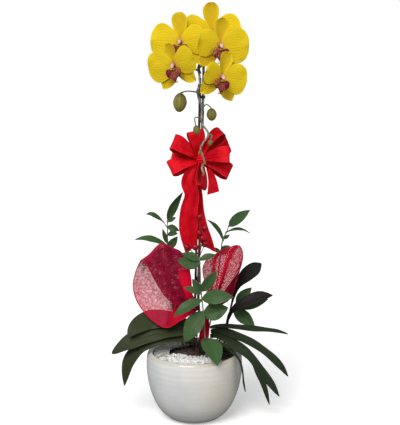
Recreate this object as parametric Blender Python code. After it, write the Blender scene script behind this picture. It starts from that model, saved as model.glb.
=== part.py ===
"""Moth orchid in a glazed round pot, dressed as a gift.

One arching flower spike with five open flowers is tied to a stake. A ribbon bow, a pick of red
berries, two fans of red mesh and sprigs of filler foliage stand in the same pot.

Frame: metres, +Z up, -Y to the front, origin at the centre of the pot's flat foot.
Hand-chosen places are written in millimetres and turned into metres by MM.
"""

import math

import bmesh
import bpy
from mathutils import Matrix, Vector

MM = 0.001
GAP = 0.3                       # clearance between neighbouring pieces, mm

# Driving dimensions, mm
POT_HEIGHT = 124.5
POT_FOOT_RADIUS = 42.0
POT_WALL = 6.5
FLOOR_THICKNESS = 9.0
FILLER_TOP = 112.0
PAD_RADIUS = 74.2
NURSERY_RIM_RADIUS = 52.0
NURSERY_RIM_HEIGHT = 119.5
NURSERY_WALL = 1.4
STAKE_RADIUS = 2.2
STAKE_FOOT = (-2.0, 14.0, 70.0)
STAKE_TOP = (11.0, 14.0, 622.0)
SPIKE_RADIUS = 2.6
STALK_RADIUS = 1.5
LEAF_THICKNESS = 1.5
PETAL_THICKNESS = 1.0
RIBBON_WIDTH = 30.0
RIBBON_THICKNESS = 1.0
MESH_THICKNESS = 1.2
BERRY_RADIUS = 6.0
KNOT_CENTRE = (11.0, 0.0, 479.0)
CROWN_CENTRE = (17.0, -2.0)

COLOURS = {
    "glaze": ((0.72, 0.71, 0.67), 0.16),
    "bark": ((0.07, 0.05, 0.035), 0.9),
    "nursery_plastic": ((0.03, 0.03, 0.032), 0.35),
    "gravel": ((0.82, 0.81, 0.78), 0.7),
    "moss": ((0.42, 0.42, 0.36), 0.95),
    "orchid_leaf": ((0.05, 0.085, 0.04), 0.4),
    "dark_leaf": ((0.018, 0.014, 0.013), 0.45),
    "foliage": ((0.05, 0.17, 0.04), 0.42),
    "stem": ((0.22, 0.2, 0.16), 0.6),
    "stake": ((0.02, 0.018, 0.018), 0.45),
    "petal": ((0.93, 0.68, 0.01), 0.55),
    "lip": ((0.36, 0.01, 0.12), 0.45),
    "bud": ((0.3, 0.3, 0.08), 0.5),
    "ribbon": ((0.8, 0.01, 0.015), 0.38),
    "berry": ((0.5, 0.01, 0.03), 0.15),
    "mesh": ((0.45, 0.01, 0.05), 0.6),
}


# ---------------------------------------------------------------- scene and objects

def clear_scene():
    for item in list(bpy.data.objects):
        bpy.data.objects.remove(item, do_unlink=True)


def material(slot):
    """The Principled material of a slot, made once."""
    found = bpy.data.materials.get(slot)
    if found:
        return found
    colour, roughness = COLOURS[slot]
    made = bpy.data.materials.new(slot)
    made.use_nodes = True
    shader = made.node_tree.nodes["Principled BSDF"]
    shader.inputs["Base Color"].default_value = (*colour, 1.0)
    shader.inputs["Roughness"].default_value = roughness
    shader.inputs["Metallic"].default_value = 0.0
    return made


def add_object(name, shape, slot, placed=None):
    """Object NAME from (points in mm, faces), with outward faces and smooth shading."""
    points, faces = shape
    mesh = bpy.data.meshes.new(name)
    body = bmesh.new()
    corners = [body.verts.new(Vector(point) * MM) for point in points]
    for face in faces:
        body.faces.new([corners[index] for index in face])
    bmesh.ops.recalc_face_normals(body, faces=body.faces)
    body.to_mesh(mesh)
    body.free()
    mesh.materials.append(material(slot))
    mesh.shade_smooth()
    mesh.set_sharp_from_angle(angle=math.radians(50))
    item = bpy.data.objects.new(name, mesh)
    if placed:
        item.matrix_world = placed
    bpy.context.scene.collection.objects.link(item)
    return item


def combine(base, others, operation):
    """Boolean each of OTHERS with BASE, and hide them as guides."""
    for other in others:
        other.hide_render = True
        other.display_type = "WIRE"
        modifier = base.modifiers.new(other.name, "BOOLEAN")
        modifier.operation = operation
        modifier.solver = "EXACT"
        modifier.object = other


# ---------------------------------------------------------------- curves

def smooth(rows, steps):
    """STEPS + 1 rows on a Catmull-Rom curve through ROWS, which are tuples of any length."""
    ends = [rows[0], *rows, rows[-1]]
    spans = len(rows) - 1
    result = []
    for step in range(steps + 1):
        place = step / steps * spans
        span = min(int(place), spans - 1)
        t = place - span
        a, b, c, d = ends[span:span + 4]
        result.append(tuple(
            0.5 * (2 * q + (r - p) * t + (2 * p - 5 * q + 4 * r - s) * t * t
                   + (3 * q - p - 3 * r + s) * t ** 3)
            for p, q, r, s in zip(a, b, c, d)))
    return result


def at_height(rows, height):
    """Point of a rising polyline at a height."""
    for low, high in zip(rows, rows[1:]):
        if low[2] <= height <= high[2]:
            share = (height - low[2]) / (high[2] - low[2])
            return Vector(low[:3]).lerp(Vector(high[:3]), share)
    return Vector(rows[-1][:3])


def directions(points):
    """Unit tangents along a polyline."""
    last = len(points) - 1
    return [(points[min(i + 1, last)] - points[max(i - 1, 0)]).normalized()
            for i in range(last + 1)]


# ---------------------------------------------------------------- closed shapes, (points, faces)

def tube(rows, steps, sides):
    """Capped round tube through rows of (x, y, z, radius)."""
    stations = smooth(rows, steps)
    centres = [Vector(row[:3]) for row in stations]
    points, faces = [], []
    side = Vector((0.31, 0.9, 0.3))
    for centre, tangent, row in zip(centres, directions(centres), stations):
        side = (side - tangent * side.dot(tangent)).normalized()
        other = tangent.cross(side)
        for k in range(sides):
            angle = math.tau * k / sides
            points.append(centre + (side * math.cos(angle) + other * math.sin(angle)) * row[3])
    for ring in range(steps):
        start = ring * sides
        for k in range(sides):
            following = (k + 1) % sides
            faces.append((start + k, start + following,
                          start + sides + following, start + sides + k))
    faces.append(tuple(range(sides)))
    faces.append(tuple(range(steps * sides, (steps + 1) * sides)))
    return points, faces


def lathe(profile, steps):
    """Closed body of revolution from (radius, height) pairs that start and end on the axis."""
    rings = profile[1:-1]
    points = [(0, 0, profile[0][1]), (0, 0, profile[-1][1])]
    for radius, height in rings:
        for k in range(steps):
            angle = math.tau * k / steps
            points.append((radius * math.cos(angle), radius * math.sin(angle), height))
    faces = []
    for k in range(steps):
        following = (k + 1) % steps
        last = 2 + (len(rings) - 1) * steps
        faces.append((0, 2 + following, 2 + k))
        faces.append((1, last + k, last + following))
        for ring in range(len(rings) - 1):
            low = 2 + ring * steps
            faces.append((low + k, low + following, low + steps + following, low + steps + k))
    return points, faces


def slab(top, bottom):
    """Closed solid between two grids of points of the same size."""
    rows, columns = len(top), len(top[0])
    points = [point for row in top for point in row] + [point for row in bottom for point in row]
    under = rows * columns
    faces = []
    for i in range(rows - 1):
        for j in range(columns - 1):
            a = i * columns + j
            quad = (a, a + 1, a + columns + 1, a + columns)
            faces.append(quad)
            faces.append(tuple(under + index for index in reversed(quad)))
    border = [(0, j) for j in range(columns)]
    border += [(i, columns - 1) for i in range(1, rows)]
    border += [(rows - 1, j) for j in range(columns - 2, -1, -1)]
    border += [(i, 0) for i in range(rows - 2, 0, -1)]
    edge = [i * columns + j for i, j in border]
    for a, b in zip(edge, edge[1:] + edge[:1]):
        faces.append((a, b, under + b, under + a))
    return points, faces


def thicken(grid, thickness):
    """Solid sheet of even thickness around a grid of points."""
    rows, columns = len(grid), len(grid[0])
    top, bottom = [], []
    for i in range(rows):
        upper, lower = [], []
        for j in range(columns):
            along = grid[min(i + 1, rows - 1)][j] - grid[max(i - 1, 0)][j]
            across = grid[i][min(j + 1, columns - 1)] - grid[i][max(j - 1, 0)]
            normal = along.cross(across).normalized()
            upper.append(grid[i][j] + normal * thickness / 2)
            lower.append(grid[i][j] - normal * thickness / 2)
        top.append(upper)
        bottom.append(lower)
    return slab(top, bottom)


def strip_grid(rows, steps, facing, columns, fold):
    """Grid along rows of (x, y, z, width), whose face looks towards FACING.

    FOLD raises the two edges by that share of the half width.
    """
    stations = smooth(rows, steps)
    centres = [Vector(row[:3]) for row in stations]
    look = Vector(facing)
    grid = []
    for centre, tangent, row in zip(centres, directions(centres), stations):
        normal = (look - tangent * look.dot(tangent)).normalized()
        side = tangent.cross(normal)
        line = []
        for j in range(columns + 1):
            across = 2 * j / columns - 1
            line.append(centre + (side * across + normal * fold * abs(across)) * row[3] / 2)
        grid.append(line)
    return grid


def surface_grid(ribs, rows, columns):
    """Grid of points on a smooth surface through ribs, which are lists of points."""
    along = [smooth(rib, rows) for rib in ribs]
    return [[Vector(point) for point in smooth([rib[i] for rib in along], columns)]
            for i in range(rows + 1)]


# ---------------------------------------------------------------- leaves

def leaf_width(share, width, tip=1.6):
    """Width of a lance-shaped leaf at a share of its length."""
    return max(tip, width * math.sin(math.pi * share ** 0.8) ** 0.85)


def leaf(base, tip, width, facing, arch):
    """Small leaf from BASE to TIP whose middle is raised by ARCH towards FACING."""
    base, tip, look = Vector(base), Vector(tip), Vector(facing).normalized()
    rows = []
    for k in range(5):
        share = k / 4
        centre = base.lerp(tip, share) + look * arch * 4 * share * (1 - share)
        rows.append((*centre, leaf_width(share, width)))
    return thicken(strip_grid(rows, 4, facing, 2, 0.18), 1.0)


def tapered(points, thick, thin):
    """Points of a stem with a radius that shrinks along it."""
    last = len(points) - 1
    return [(*point, thick + (thin - thick) * k / last) for k, point in enumerate(points)]


def add_sprig(name, stems, leaves, slot="foliage"):
    """One growth: its stems, and leaves given as (stem, height on it, tip, width, facing, arch)."""
    base = add_object(name, tube(tapered(stems[0], 1.6, 1.0), 8, 6), slot)
    guides = [add_object(f"{name}_stem_{k}", tube(tapered(stem, 1.0, 0.7), 4, 5), slot)
              for k, stem in enumerate(stems[1:], 1)]
    for k, (stem, height, tip, width, facing, arch) in enumerate(leaves, 1):
        root = at_height(smooth(stems[stem], 8 if stem == 0 else 4), height)
        guides.append(add_object(f"{name}_leaf_{k}", leaf(root, tip, width, facing, arch), slot))
    combine(base, guides, "UNION")


# ---------------------------------------------------------------- pot and fillings

def pot_outline():
    """Outer wall of the pot from the foot to the lip, as (radius, height)."""
    return [(POT_FOOT_RADIUS, 0), (50, 3.5), (61, 13), (71, 27.5), (79, 46), (84.5, 66),
            (87.5, 86), (88, 98), (87.8, 107), (87.2, 115)]


def inner_radius(height):
    """Inside radius of the pot at a height."""
    outline = pot_outline()
    for (r0, z0), (r1, z1) in zip(outline, outline[1:]):
        if z0 <= height <= z1:
            return r0 + (r1 - r0) * (height - z0) / (z1 - z0) - POT_WALL
    return outline[-1][0] - POT_WALL


def nursery_radius(height):
    """Outside radius of the tapered nursery pot at a height."""
    return NURSERY_RIM_RADIUS - 0.11 * (NURSERY_RIM_HEIGHT - height)


def add_pot():
    lip = [(86.4, 119.5), (84.4, 122.8), (81, POT_HEIGHT), (77.8, POT_HEIGHT - 0.9), (75.8, 121)]
    inside = [(75.4, 117.5)] + [(inner_radius(z), z) for z in (113, 98, 80, 60, 42, 26, 15)]
    cavity = [(40, FLOOR_THICKNESS), (0, FLOOR_THICKNESS)]
    add_object("pot", lathe([(0, 0), *pot_outline(), *lip, *inside, *cavity], 36), "glaze")


def add_fillings():
    floor = FLOOR_THICKNESS + GAP
    cup_floor = 22.0
    outer = [(38, floor)] + [(inner_radius(z) - 1.0, z) for z in (17, 30, 46, 66, 90)]
    outer.append((inner_radius(FILLER_TOP) - 0.8, FILLER_TOP))
    hole = [(nursery_radius(z) + GAP, z) for z in (FILLER_TOP, cup_floor - GAP)]
    profile = [(0, floor), *outer, *hole, (0, cup_floor - GAP)]
    add_object("pot_filler", lathe(profile, 32), "bark")

    cup = [(nursery_radius(z), z) for z in (cup_floor, NURSERY_RIM_HEIGHT)]
    inside = [(r - NURSERY_WALL, z) for r, z in reversed(cup)]
    inside[-1] = (inside[-1][0], cup_floor + NURSERY_WALL)
    profile = [(0, cup_floor), *cup, *inside, (0, cup_floor + NURSERY_WALL)]
    add_object("nursery_pot", lathe(profile, 32), "nursery_plastic")

    low = cup_floor + NURSERY_WALL + GAP
    edge = [(nursery_radius(z) - NURSERY_WALL - 2 * GAP, z) for z in (low, 114)]
    profile = [(0, low), *edge, (34, 117.5), (16, 119.5), (0, 120)]
    medium = add_object("growing_medium", lathe(profile, 24), "bark")
    hole_radius = STAKE_RADIUS + 2 * GAP
    socket = [(*STAKE_FOOT[:2], STAKE_FOOT[2] - 1, hole_radius), (*stake_at(150), hole_radius)]
    combine(medium, [add_object("stake_socket", tube(socket, 2, 12), "bark")], "DIFFERENCE")


def ring_pad(start, stop, bottom, top, crown):
    """Heaped pad between the nursery pot and the pot's wall, over an arc in degrees."""
    inner = NURSERY_RIM_RADIUS + 1.2
    outer = PAD_RADIUS
    low, high = [], []
    for i in range(13):
        angle = math.radians(start + (stop - start) * i / 12)
        fade = min(1.0, 4 * i / 12, 4 * (12 - i) / 12)
        under, over = [], []
        for j in range(4):
            radius = inner + (outer - inner) * j / 3
            heap = top + crown * math.sin(math.pi * (0.15 + 0.7 * j / 3)) * fade
            place = (radius * math.cos(angle), radius * math.sin(angle))
            under.append(Vector((*place, bottom)))
            over.append(Vector((*place, heap)))
        low.append(under)
        high.append(over)
    return slab(high, low)


def add_top_dressing():
    base = FILLER_TOP + GAP
    add_object("white_gravel", ring_pad(203, 322, base, 116.5, 8), "gravel")
    add_object("grey_moss", ring_pad(112, 200, base, 117, 6), "moss")


# ---------------------------------------------------------------- orchid plant

ORCHID_LEAVES = {
    # name: rows of (x, y, z, width), the way the blade faces, fold
    "orchid_leaf_left_1": ([(3, 1, 166, 9), (-22, 0, 176, 22), (-56, -1, 184, 34), (-86, -5, 182, 36),
                            (-108, -16, 171, 26), (-120, -25, 157, 5)], (-0.1, -0.85, 0.5), 0.12),
    "orchid_leaf_left_2": ([(4, -3, 155, 8), (-24, -7, 162, 18), (-72, -14, 160, 28),
                            (-116, -18, 147, 32), (-150, -22, 125, 8)], (-0.15, -0.75, 0.65), 0.1),
    "orchid_leaf_left_3": ([(5, -6, 145, 7), (-26, -9, 151, 14), (-66, -14, 149, 21), (-98, -18, 135, 27),
                            (-120, -22, 108, 28), (-128, -23, 64, 4)], (-0.5, -0.75, 0.5), 0.1),
    "orchid_leaf_right_1": ([(29, 4, 166, 8), (48, 7, 169, 14), (100, 8, 164, 18), (150, 8, 159, 15),
                             (173, 8, 153, 3)], (0.05, -0.25, 1.0), 0.1),
    "orchid_leaf_right_2": ([(30, 0, 160, 8), (46, -1, 163, 14), (72, -3, 155, 19), (107, -8, 140, 21),
                             (136, -12, 120, 21), (158, -15, 99, 17), (172, -16, 80, 4)],
                            (0.35, -0.5, 0.8), 0.12),
    "orchid_leaf_right_3": ([(29, -6, 153, 8), (46, -8, 154, 14), (84, -17, 136, 20), (105, -24, 116, 20),
                             (121, -28, 94, 20), (140, -30, 70, 18), (155, -31, 47, 4)],
                            (0.45, -0.6, 0.65), 0.12),
    "orchid_leaf_right_4": ([(27, -9, 146, 7), (46, -19, 142.4, 10), (78, -34, 137, 14), (104, -42, 121, 16),
                             (116, -45, 96, 17), (127, -46, 68, 15), (136, -46, 37, 3)],
                            (0.6, -0.6, 0.55), 0.12),
    "orchid_leaf_right_5": ([(24, -13, 140, 6), (44, -28, 142, 8), (66, -46, 137, 10), (80, -54, 124, 10),
                             (86, -56, 104, 10), (88, -55, 84, 8), (92, -54, 64, 2.4)],
                            (0.95, -0.3, 0.2), 0.1),
}

DARK_LEAVES = {
    "dark_leaf_upper": ([(54, 26, 113, 3), (62, 26, 168, 3.4), (71, 25, 212, 4.4), (80, 25, 240, 12),
                         (96, 24, 260, 26), (112, 24, 273, 26), (124, 24, 283, 7)], (-0.1, -0.8, 0.5), 0.2),
    "dark_leaf_lower": ([(38, 20, 118, 3), (44, 21, 130, 3), (58, 22, 162, 3.4), (67, 18, 190, 8),
                         (86, 13, 208, 18), (118, 13, 222, 22), (145, 14, 225, 5)],
                        (-0.1, -0.8, 0.65), 0.2),
}


def stake_at(height):
    """Axis of the stake at a height."""
    share = (height - STAKE_FOOT[2]) / (STAKE_TOP[2] - STAKE_FOOT[2])
    return tuple(Vector(STAKE_FOOT).lerp(Vector(STAKE_TOP), share))


def beside_stake(height):
    """Axis of the flower spike where it is tied to the right of the stake."""
    x, y, z = stake_at(height)
    return (x + STAKE_RADIUS + SPIKE_RADIUS + 0.8, y, z)


def add_crown_and_leaves():
    profile = [(0, 119.8), (9, 120.6), (9.5, 132), (8.6, 146), (7, 160), (4, 170), (0, 173)]
    place = Matrix.Translation(Vector((*CROWN_CENTRE, 0)) * MM)
    add_object("orchid_crown", lathe([(r, z + 2 * GAP) for r, z in profile], 12), "orchid_leaf", place)
    for name, (rows, facing, fold) in ORCHID_LEAVES.items():
        grid = strip_grid(rows, 10, facing, 2, fold)
        add_object(name, thicken(grid, LEAF_THICKNESS), "orchid_leaf")
    for name, (rows, facing, fold) in DARK_LEAVES.items():
        grid = strip_grid(rows, 12, facing, 2, fold)
        add_object(name, thicken(grid, LEAF_THICKNESS), "dark_leaf")


# Flower spike: up beside the stake, over the top and down in front, as (x, y, z)
ARCH = [(17, 16, 640), (17.5, 19, 661), (17, 20.5, 676), (15, 18, 688), (12.5, 13, 690), (11, 9.5, 681),
        (11, 8.5, 669), (12, 7, 658), (12, 5, 650), (8, 1, 639), (9.5, -4, 623), (10, -10, 607),
        (6, -14, 597), (10.5, -20, 579), (14, -24, 569), (13, -31, 552), (14.5, -36, 541), (25, -44, 524),
        (12, -52, 502), (18, -57, 479), (13.5, -59, 468), (17, -60, 459)]

FLOWERS = [
    # centre, the way it faces, lean in degrees, size, stalk from the spike (start, middle)
    ((31, 2, 698), (0.12, -1.0, 0.02), -2, 1.0, (14, 16, 689), (22, 13, 694)),
    ((-23, -18, 682), (-0.22, -1.0, 0.0), -3, 1.0, (12, 5.5, 651), (-3, -6, 656)),
    ((44, -40, 675), (0.34, -1.0, -0.08), 5, 0.97, (8, 1, 638), (24, -14, 650)),
    ((-33, -56, 642), (-0.42, -1.0, -0.22), -13, 0.93, (8.5, 0, 633), (-10, -22, 640)),
    ((46, -66, 622), (0.46, -1.0, -0.15), 13, 0.92, (10, -9, 609), (26, -34, 611)),
]

BUDS = [
    # base, tip, largest radius, stalk from the spike (start, middle)
    ((-23, -34, 595), (-26, -36, 562), 12.0, (6.5, -14.5, 596), (-10, -25, 598)),
    ((30, -35, 569), (31, -36, 547), 9.0, (14, -24.5, 569), (22, -31, 575)),
    ((3, -47, 540), (6, -49, 523), 6.2, (13, -32, 551), (2, -43, 553)),
    ((29, -55, 516), (27.5, -57, 505), 4.2, (25, -44, 524), (31, -51, 523)),
]

TINY_BUDS = [((12.5, -53, 499), (8, -58, 490), 2.6), ((17, -58, 480), (20, -62, 474), 2.3),
             ((17, -60, 461), (16, -61, 453), 1.9)]


def flower_frame(centre, facing, lean):
    """Matrix (in mm) whose Z looks the way the flower faces and whose Y points to its top petal."""
    forward = Vector(facing).normalized()
    right = Vector((0, 0, 1)).cross(forward).normalized()
    top = forward.cross(right)
    turn = Matrix.Rotation(math.radians(-lean), 3, "Z")
    axes = Matrix((right, top, forward)).transposed() @ turn
    return Matrix.Translation(Vector(centre)) @ axes.to_4x4()


def petal_width(share, width, root):
    """Width of a petal at a share of its length, from a narrow root to a blunt tip."""
    round_share = 0.03 + 0.94 * share
    rise = min(1.0, 0.3 + share / 0.35)
    return max(root, width * math.sqrt(4 * round_share * (1 - round_share)) * rise)


def star_sheet(arms, hub, depth, rows, columns, boss=()):
    """Closed sheet of petals around a hub, in a flower's own frame.

    ARMS are (angle from the top, length, width, reach); the sheet's depth at a point is
    DEPTH(x, y) plus the arm's reach, which grows towards its tip. BOSS is (rise, scale, lean)
    for each ring of a knob on the hub's front.
    """
    root = 2 * hub * math.tan(math.radians(26))
    points, faces = [], []
    hub_front, hub_back = [], []
    for angle, length, width, reach in arms:
        turn = math.radians(angle)
        along = Vector((math.sin(turn), math.cos(turn)))
        across = Vector((math.cos(turn), -math.sin(turn)))
        top, bottom = [], []
        for i in range(rows + 1):
            share = i / rows
            half = petal_width(share, width, root) / 2
            upper, lower = [], []
            for j in range(columns + 1):
                side = 2 * j / columns - 1
                reach_out = hub + (length - hub) * share * (0.95 + 0.05 * (1 - abs(side)))
                flat = along * reach_out + across * side * half
                rise = depth(flat.x, flat.y) + reach * share ** 1.3
                upper.append(Vector((flat.x, flat.y, rise)))
                lower.append(Vector((flat.x, flat.y, rise - PETAL_THICKNESS)))
            top.append(upper)
            bottom.append(lower)
        offset = len(points)
        arm_points, arm_faces = slab(top, bottom)
        count = (rows + 1) * (columns + 1)
        root_row = set(range(columns + 1)) | set(range(count, count + columns + 1))
        points.extend(arm_points)
        faces.extend(tuple(offset + index for index in face) for face in arm_faces
                     if not set(face) <= root_row)
        hub_front.append([offset + j for j in range(columns + 1)])
        hub_back.append([offset + count + j for j in range(columns + 1)])
    ring = [index for row in hub_front for index in row]
    under = [index for row in hub_back for index in row]
    for k, row in enumerate(hub_front):
        following = (k + 1) % len(hub_front)
        faces.append((row[-1], hub_front[following][0], hub_back[following][0], hub_back[k][-1]))
    faces.append(tuple(reversed(under)))
    for rise, scale, lean in boss:
        start = len(points)
        middle = sum((points[index] for index in ring), Vector()) / len(ring)
        for index in ring:
            points.append((points[index] - middle) * scale + middle + Vector((0, lean, rise)))
        raised = list(range(start, len(points)))
        for a, b, c, d in zip(ring, ring[1:] + ring[:1], raised[1:] + raised[:1], raised):
            faces.append((a, b, c, d))
        ring = raised
    faces.append(tuple(ring))
    return points, faces


def add_flower(number, centre, facing, lean, size):
    """Three pieces: sepals at the back, the two broad petals, and the lip with its column."""
    frame = flower_frame(centre, facing, lean)
    placed = Matrix.Scale(MM, 4) @ frame @ Matrix.Scale(size / MM, 4)

    def cup(lift, forward):
        return lambda x, y: lift + forward * (x * x + y * y) / 2500

    sepals = [(0, 52, 29, 0), (138, 50, 28, 0), (222, 50, 28, 0)]
    petals = [(84, 51, 56, 0), (276, 51, 56, 0)]
    lip = [(122, 18, 10, 9), (180, 30, 10, 11), (238, 18, 10, 9)]
    add_object(f"flower_{number}_sepals", star_sheet(sepals, 4.5, cup(-1.8, 3), 4, 2), "petal", placed)
    add_object(f"flower_{number}_petals", star_sheet(petals, 4.5, cup(0, 7), 5, 4), "petal", placed)
    column = [(3, 0.9, 1), (4, 0.85, 1), (2.5, 0.6, -1)]
    add_object(f"flower_{number}_lip", star_sheet(lip, 3.6, cup(1.6, 4), 3, 2, column), "lip", placed)


def bud_shape(base, tip, radius):
    """Egg-shaped bud from BASE to TIP, as closed points and faces."""
    base, tip = Vector(base), Vector(tip)
    length = (tip - base).length
    turn = (tip - base).to_track_quat("Z", "Y")
    shares = [(0.0, 0.0), (0.3, 0.03), (0.75, 0.2), (1.0, 0.45), (0.88, 0.7), (0.5, 0.92), (0.0, 1.0)]
    points, faces = lathe([(radius * r, length * z) for r, z in shares], 10)
    return [turn @ Vector(point) + base for point in points], faces


def add_spike_flowers_and_buds():
    lower = [(18.5, 9.5, 146), (16, 13, 158), (10, 14.5, 185)]
    tied = [beside_stake(z) for z in (230, 330, 430, 530, 610)]
    route = [(*point, SPIKE_RADIUS if point[2] < 600 else 2.3) for point in lower + tied]
    route += [(*point, 2.4 - 0.7 * k / len(ARCH)) for k, point in enumerate(ARCH)]
    spike = add_object("flower_spike", tube(route, 46, 6), "stem")

    guides = []
    for number, (centre, facing, lean, size, start, middle) in enumerate(FLOWERS, 1):
        frame = flower_frame(centre, facing, lean)
        near, end = frame @ Vector((0, 0, -12)), frame @ Vector((0, 0, -3.2 * size - 0.6))
        rows = [(*point, STALK_RADIUS) for point in (start, middle, near, end)]
        guides.append(add_object(f"flower_stalk_{number}", tube(rows, 7, 5), "stem"))
        add_flower(number, centre, facing, lean, size)
    for number, (base, tip, radius, start, middle) in enumerate(BUDS, 1):
        add_object(f"bud_{number}", bud_shape(base, tip, radius), "bud")
        away = (Vector(base) - Vector(tip)).normalized()
        end = Vector(base) + away * 0.8
        rows = [(*start, 1.2), (*middle, 1.0), (*end, 1.0)]
        guides.append(add_object(f"bud_stalk_{number}", tube(rows, 6, 5), "stem"))
    for number, (base, tip, radius) in enumerate(TINY_BUDS, 1):
        guides.append(add_object(f"tiny_bud_{number}", bud_shape(base, tip, radius), "stem"))
    combine(spike, guides, "UNION")


def add_stake():
    route = [(*STAKE_FOOT, STAKE_RADIUS), (*STAKE_TOP, STAKE_RADIUS)]
    add_object("stake", tube(route, 1, 10), "stake")

    height, tall, inner, wall = 585.0, 5.0, SPIKE_RADIUS + 0.5, 1.3
    left, right = Vector(stake_at(height)), Vector(beside_stake(height))
    section = [(inner, 0), (inner + wall, 0), (inner + wall, tall), (inner, tall)]
    rings = [[], [], [], []]
    for k in range(16):
        angle = math.tau * (k + 0.5) / 16
        out = Vector((math.cos(angle), math.sin(angle), 0))
        centre = right if out.x > 0 else left
        for ring, (radius, rise) in zip(rings, section):
            ring.append(centre + out * radius + Vector((0, 0, rise)))
    points = [point for ring in rings for point in ring]
    faces = []
    for ring in range(4):
        low, high = ring * 16, (ring + 1) % 4 * 16
        for k in range(16):
            following = (k + 1) % 16
            faces.append((low + k, low + following, high + following, high + k))
    add_object("stake_clip", (points, faces), "stake")


# ---------------------------------------------------------------- ribbon, berries and mesh

BOW_LOOPS = [
    # start beside the knot, far end, direction of the ribbon's width, half height of the loop
    ((1, -5, 484), (-37, -22, 511), (0.45, 0.55, 0.9), 6),
    ((0, 3, 479), (-39, 3, 489), (0.1, 0.6, 0.9), 6),
    ((2, -6, 472), (-43, -21, 463), (-0.65, 0.5, 0.7), 6),
    ((8, -5, 490), (2, -13, 529), (1.0, 0.35, 0.1), 6),
    ((16, -3, 489), (49, -5, 528), (0.25, 0.5, 0.85), 7),
    ((21, 5, 482), (62, 11, 504), (0.4, 0.5, -0.75), 5),
    ((20, -9, 481), (62, -31, 488), (-0.05, 0.45, 0.9), 7),
    ((20, -2, 472), (64, -7, 455), (0.45, 0.5, 0.7), 7),
    ((13, -12, 468), (14, -30, 430), (0.3, 0.95, 0.0), 4.5),
]

RIBBON_TAILS = {
    # name: rows of (x, y, z, width), the way the ribbon faces
    "ribbon_tail_left": ([(5, -12, 468, 9), (-4, -17, 456, 22), (-9, -21, 438, 28), (-4, -23, 416, 26),
                          (-9, -24, 388, 31), (-10, -24, 355, 33), (-5, -22, 318, 22)], (0.1, -1, 0.05)),
    "ribbon_tail_back": ([(6, 2, 467, 8), (0, -5, 445, 18), (1, -9, 415, 28), (3, -10, 385, 30),
                          (9, -11, 358, 30), (19, -12, 337, 24), (28, -13, 317, 16)], (0.0, -1, 0.05)),
    "ribbon_tail_short": ([(24, -11, 463, 6), (29, -15, 453, 11), (33, -18, 438, 16), (34, -20, 419, 22)],
                          (0.15, -1, 0.1)),
}

BERRIES = [(19, -37, 359), (15, -38, 341), (19, -33, 330), (2, -38, 325), (-13, -35, 325), (10, -37, 379),
           (9, -34, 350)]

LEFT_FAN = [
    # ribs from the gather, up the back, over the crest and down the front
    [(9, -15, 206), (-24, -21, 187), (-56, -23, 175), (-98, -6, 206), (-113, 8, 246), (-94, 0, 294),
     (-70, -19, 258), (-47, -27, 227), (-22, -28, 215), (9, -19, 208)],
    [(9, -14, 208), (-14, -9, 214), (-40, 2, 226), (-62, 14, 258), (-68, 13, 296), (-57, 0, 324),
     (-46, -16, 290), (-36, -26, 255), (-18, -28, 228), (9, -19, 211)],
    [(9, -13, 210), (0, -9, 224), (-7, 2, 242), (-10, 8, 264), (-14, 6, 288), (-21, 0, 306),
     (-11, -14, 293), (-5, -24, 266), (-3, -26, 238), (9, -19, 214)],
]

RIGHT_FAN = [
    # ribs from the gather outwards, the last one being the edge of the flap folded to the front
    [(27, -16, 216), (23, -14, 235), (18, -10, 260), (15, -6, 280), (21, -3, 295)],
    [(28, -15, 214), (31, -8, 241), (34, -1, 268), (37, 2, 290), (42, 0, 308)],
    [(29, -14, 212), (43, -4, 238), (53, 4, 268), (63, 5, 298), (76, 1, 322)],
    [(30, -13, 210), (50, -2, 226), (66, 6, 252), (80, 6, 282), (89, 2, 309)],
    [(31, -14, 208), (50, -6, 211), (68, 3, 223), (77, 4, 254), (85, 2, 286)],
    [(31, -19, 209), (43, -19, 224), (54, -19, 243), (67, -14, 259), (82, -5, 277)],
]

MESH_TAIL = [(20, -20, 200, 10), (20, -23, 186, 14), (19, -25, 168, 17), (18, -26, 150, 15)]


def loop_grid(start, end, across, height, steps=14):
    """Ribbon loop that leaves a knot at START, turns at END and comes back beside itself."""
    start, reach = Vector(start), Vector(end) - Vector(start)
    ahead = reach.normalized()
    across = Vector(across)
    across = (across - ahead * across.dot(ahead)).normalized()
    out = across.cross(ahead)
    grid = []
    for step in range(steps + 1):
        t = step / steps
        swell = math.sin(math.pi * t)
        middle = start + reach * swell + out * (1.8 * math.cos(math.pi * t)
                                                + height * math.sin(math.tau * t))
        half = RIBBON_WIDTH / 2 * (0.2 + 0.8 * min(1.0, 1.25 * swell))
        grid.append([middle - across * half, middle + across * half])
    return grid


def add_bow():
    profile = [(0, -10), (5.5, -8.5), (8.5, -4), (9, 1), (8, 5.5), (5, 9), (0, 10)]
    place = Matrix.Translation(Vector(KNOT_CENTRE) * MM)
    add_object("bow_knot", lathe([(0.92 * r, 0.9 * z) for r, z in profile], 12), "ribbon", place)
    for number, (start, end, across, height) in enumerate(BOW_LOOPS, 1):
        grid = loop_grid(start, end, across, height)
        add_object(f"bow_loop_{number}", thicken(grid, RIBBON_THICKNESS), "ribbon")
    for name, (rows, facing) in RIBBON_TAILS.items():
        grid = strip_grid(rows, 10, facing, 2, 0.08)
        add_object(name, thicken(grid, RIBBON_THICKNESS), "ribbon")


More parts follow.
